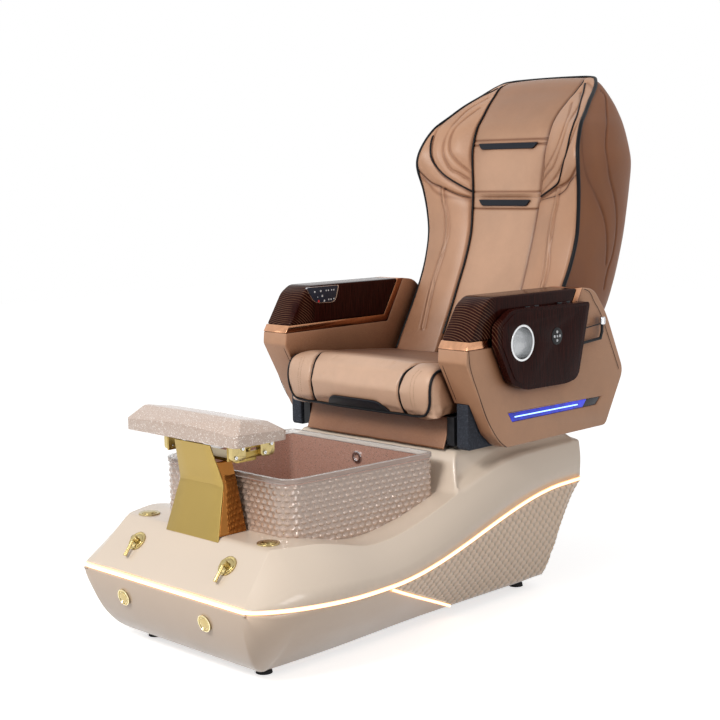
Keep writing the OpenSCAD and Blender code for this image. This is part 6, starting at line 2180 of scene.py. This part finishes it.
    def welts(self) -> None:
        """Builds the thick welt round the back and the cords beside the centre cushions."""
        thick, cord = bmesh.new(), bmesh.new()
        zs = self.heights()
        left = [Vector((self.outer(z) - 1.0, at(self.outer_d(z) + 5.0), z)) for z in zs]
        left += [Vector((166, at(1549), 1455)), Vector((150, at(1554), 1457))]
        across = [Vector((x, at(1556), 1458 + 2.5 * (1 - (x / 150) ** 2))) for x in range(130,
            -131, -20)]
        tube(thick, spline(left + across + flipped(left), 7), 5.6, 10)
        tube(cord, self.joint(4.6, [z for z in zs[8:] if z < 1262]), 1.6)
        make_piece("back_cord", cord, self.BODY, TAN)
        make_piece("back_edge_welt", thick, self.BODY, PIPE)

    def covered_welts(self, cover: BVHTree) -> None:
        """Builds the dark welts and the light seams that lie on the wings' covers."""
        thin, threads = bmesh.new(), bmesh.new()
        zs = self.heights()
        tube(thin, self.joint(3.2, zs[8:-1], -1), 2.5)
        tube(thin, self.joint(3.8, [z for z in zs if 1262 < z < 1446]), 2.0)
        for lines, lift, radius in ((self.WELTS, 0.8, 2.5), (self.FINE, -0.1, 0.8)):
            for line in lines:
                tube(thin, snap(cover, [(x, at(d), z) for x, d, z in line], lift, 5)[0], radius)
        make_piece("back_welts", thin, self.BODY, PIPE)
        for lines, steps in ((self.WELTED, (-7.5, 7.5)), (self.PLEATS[:2], (4.5,))):
            for line in self.both(lines):
                path, outs = snap(cover, line, 0.1, 5)
                for by in steps:
                    stitch(threads, shifted(path, outs, by), outs, pitch=6.5)
        make_piece("back_threads", threads, self.BODY, THREAD)


class Mechanism:
    """The massage carriage and its rollers inside the back."""

    def build(self) -> None:
        """Dresses the mechanism."""
        dress(MOTOR, "massage_carriage")
        dress(BOOT, "massage_rollers")


# ---- studio ----

@dataclass(frozen=True)
class Lamp:
    """One soft area lamp: where it hangs, where it points, its size and power."""

    name: str
    place: tuple[float, float, float]
    aim: tuple[float, float, float]
    size: float
    power: float
    colour: tuple[float, float, float] = (1.0, 1.0, 1.0)


@dataclass(frozen=True)
class Studio:
    """Camera, pale floor, background and lamps."""

    eye: tuple[float, float, float] = (2.7527, -2.8893, 1.2037)
    yaw: float = 44.8
    pitch: float = 7.6
    roll: float = -1.07
    lens: float = 72.25
    ambient: float = 0.42
    lamps: tuple[Lamp, ...] = (Lamp("key", (0.3, -3.7, 3.2), (0, 0, 0.7), 1.6, 112.0, (1.0, 0.985,
        0.96)), Lamp("fill", (4.2, -0.8, 1.1), (0, 0, 0.4), 1.8, 36.0, (1.0, 0.97, 0.94)),
        Lamp("brow", (-2.6, -2.6, 1.8), (0, 0, 0.8), 1.6, 8.0))

    def build(self) -> None:
        """Builds the whole studio."""
        self.camera()
        self.world()
        self.floor()
        for lamp in self.lamps:
            self.hang(lamp)

    def camera(self) -> None:
        """Places the camera."""
        yaw, pitch, roll = (radians(a) for a in (self.yaw, self.pitch, self.roll))
        ahead = Vector((-sin(yaw) * cos(pitch), cos(yaw) * cos(pitch), -sin(pitch)))
        right = Vector((cos(yaw), sin(yaw), 0))
        up = right.cross(ahead)
        r = right * cos(roll) + up * sin(roll)
        u = up * cos(roll) - right * sin(roll)
        cam = placed("camera", bpy.data.cameras.new("camera"))
        cam.data.lens = self.lens
        cam.data.sensor_width = 36.0
        cam.data.clip_end = 50.0
        turn = Matrix((r, u, -ahead)).transposed().to_4x4()
        cam.matrix_world = Matrix.Translation(self.eye) @ turn
        bpy.context.scene.camera = cam

    def world(self) -> None:
        """Makes a soft grey light that cameras and reflections see as white."""
        world = bpy.data.worlds.new("studio")
        n = Nodes.of(world)
        light = n.add("LightPath", {}).outputs
        seen = n.math("MAXIMUM", light["Is Camera Ray"], light["Is Transmission Ray"])
        seen = n.math("MAXIMUM", seen, light["Is Glossy Ray"])
        glow = n.add("Background", {"Color": (1, 1, 1, 1), "Strength": n.span(seen, 0, 1,
            self.ambient, 1.0)})
        n.add("OutputWorld", {"Surface": glow.outputs[0]})
        bpy.context.scene.world = world

    def floor(self) -> None:
        """Lays a pale floor that fades into the background and keeps the shadow."""
        bm = bmesh.new()
        bmesh.ops.create_grid(bm, x_segments=2, y_segments=2, size=9.0)
        mesh = bpy.data.meshes.new("floor")
        bm.to_mesh(mesh)
        bm.free()
        mat = bpy.data.materials.new("studio_floor")
        n = Nodes.of(mat)
        light = n.add("LightPath", {}).outputs
        seen = n.math("MAXIMUM", light["Is Camera Ray"], light["Is Glossy Ray"])
        shader = n.add("BsdfPrincipled", {"Base Color": n.blend(seen, (0.26, 0.25, 0.24, 1),
            (0.9, 0.9, 0.9, 1)), "Roughness": 0.7, "Emission Color": (1, 1, 1, 1),
            "Specular IOR Level": 0.0, "Emission Strength": n.times(seen, 0.66)})
        n.add("OutputMaterial", {"Surface": shader.outputs[0]})
        mesh.materials.append(mat)
        floor = placed("floor", mesh)
        floor.location.z = -0.0005

    def hang(self, lamp: Lamp) -> None:
        """Hangs one lamp."""
        light = bpy.data.lights.new(lamp.name, "AREA")
        light.shape = "DISK"
        light.size = lamp.size
        light.energy = lamp.power
        light.color = lamp.colour
        obj = placed(lamp.name, light)
        obj.location = lamp.place
        aim = Vector(lamp.aim) - Vector(lamp.place)
        obj.rotation_mode = "QUATERNION"
        obj.rotation_quaternion = aim.to_track_quat("-Z", "Y")


def main() -> None:
    """Builds the studio and every part of the chair."""
    logging.basicConfig(level=logging.INFO, format="%(name)s: %(message)s")
    bpy.context.scene.view_settings.view_transform = "Standard"
    Studio().build()
    hull, basin = HullForm(), BasinForm()
    for part in (Hull(hull, basin), Basin(basin), Water(), Footrest(), Seat(SeatForm()), Arms(),
            Trays(), Backrest(), Mechanism()):
        part.build()


if __name__ == "__main__":
    main()
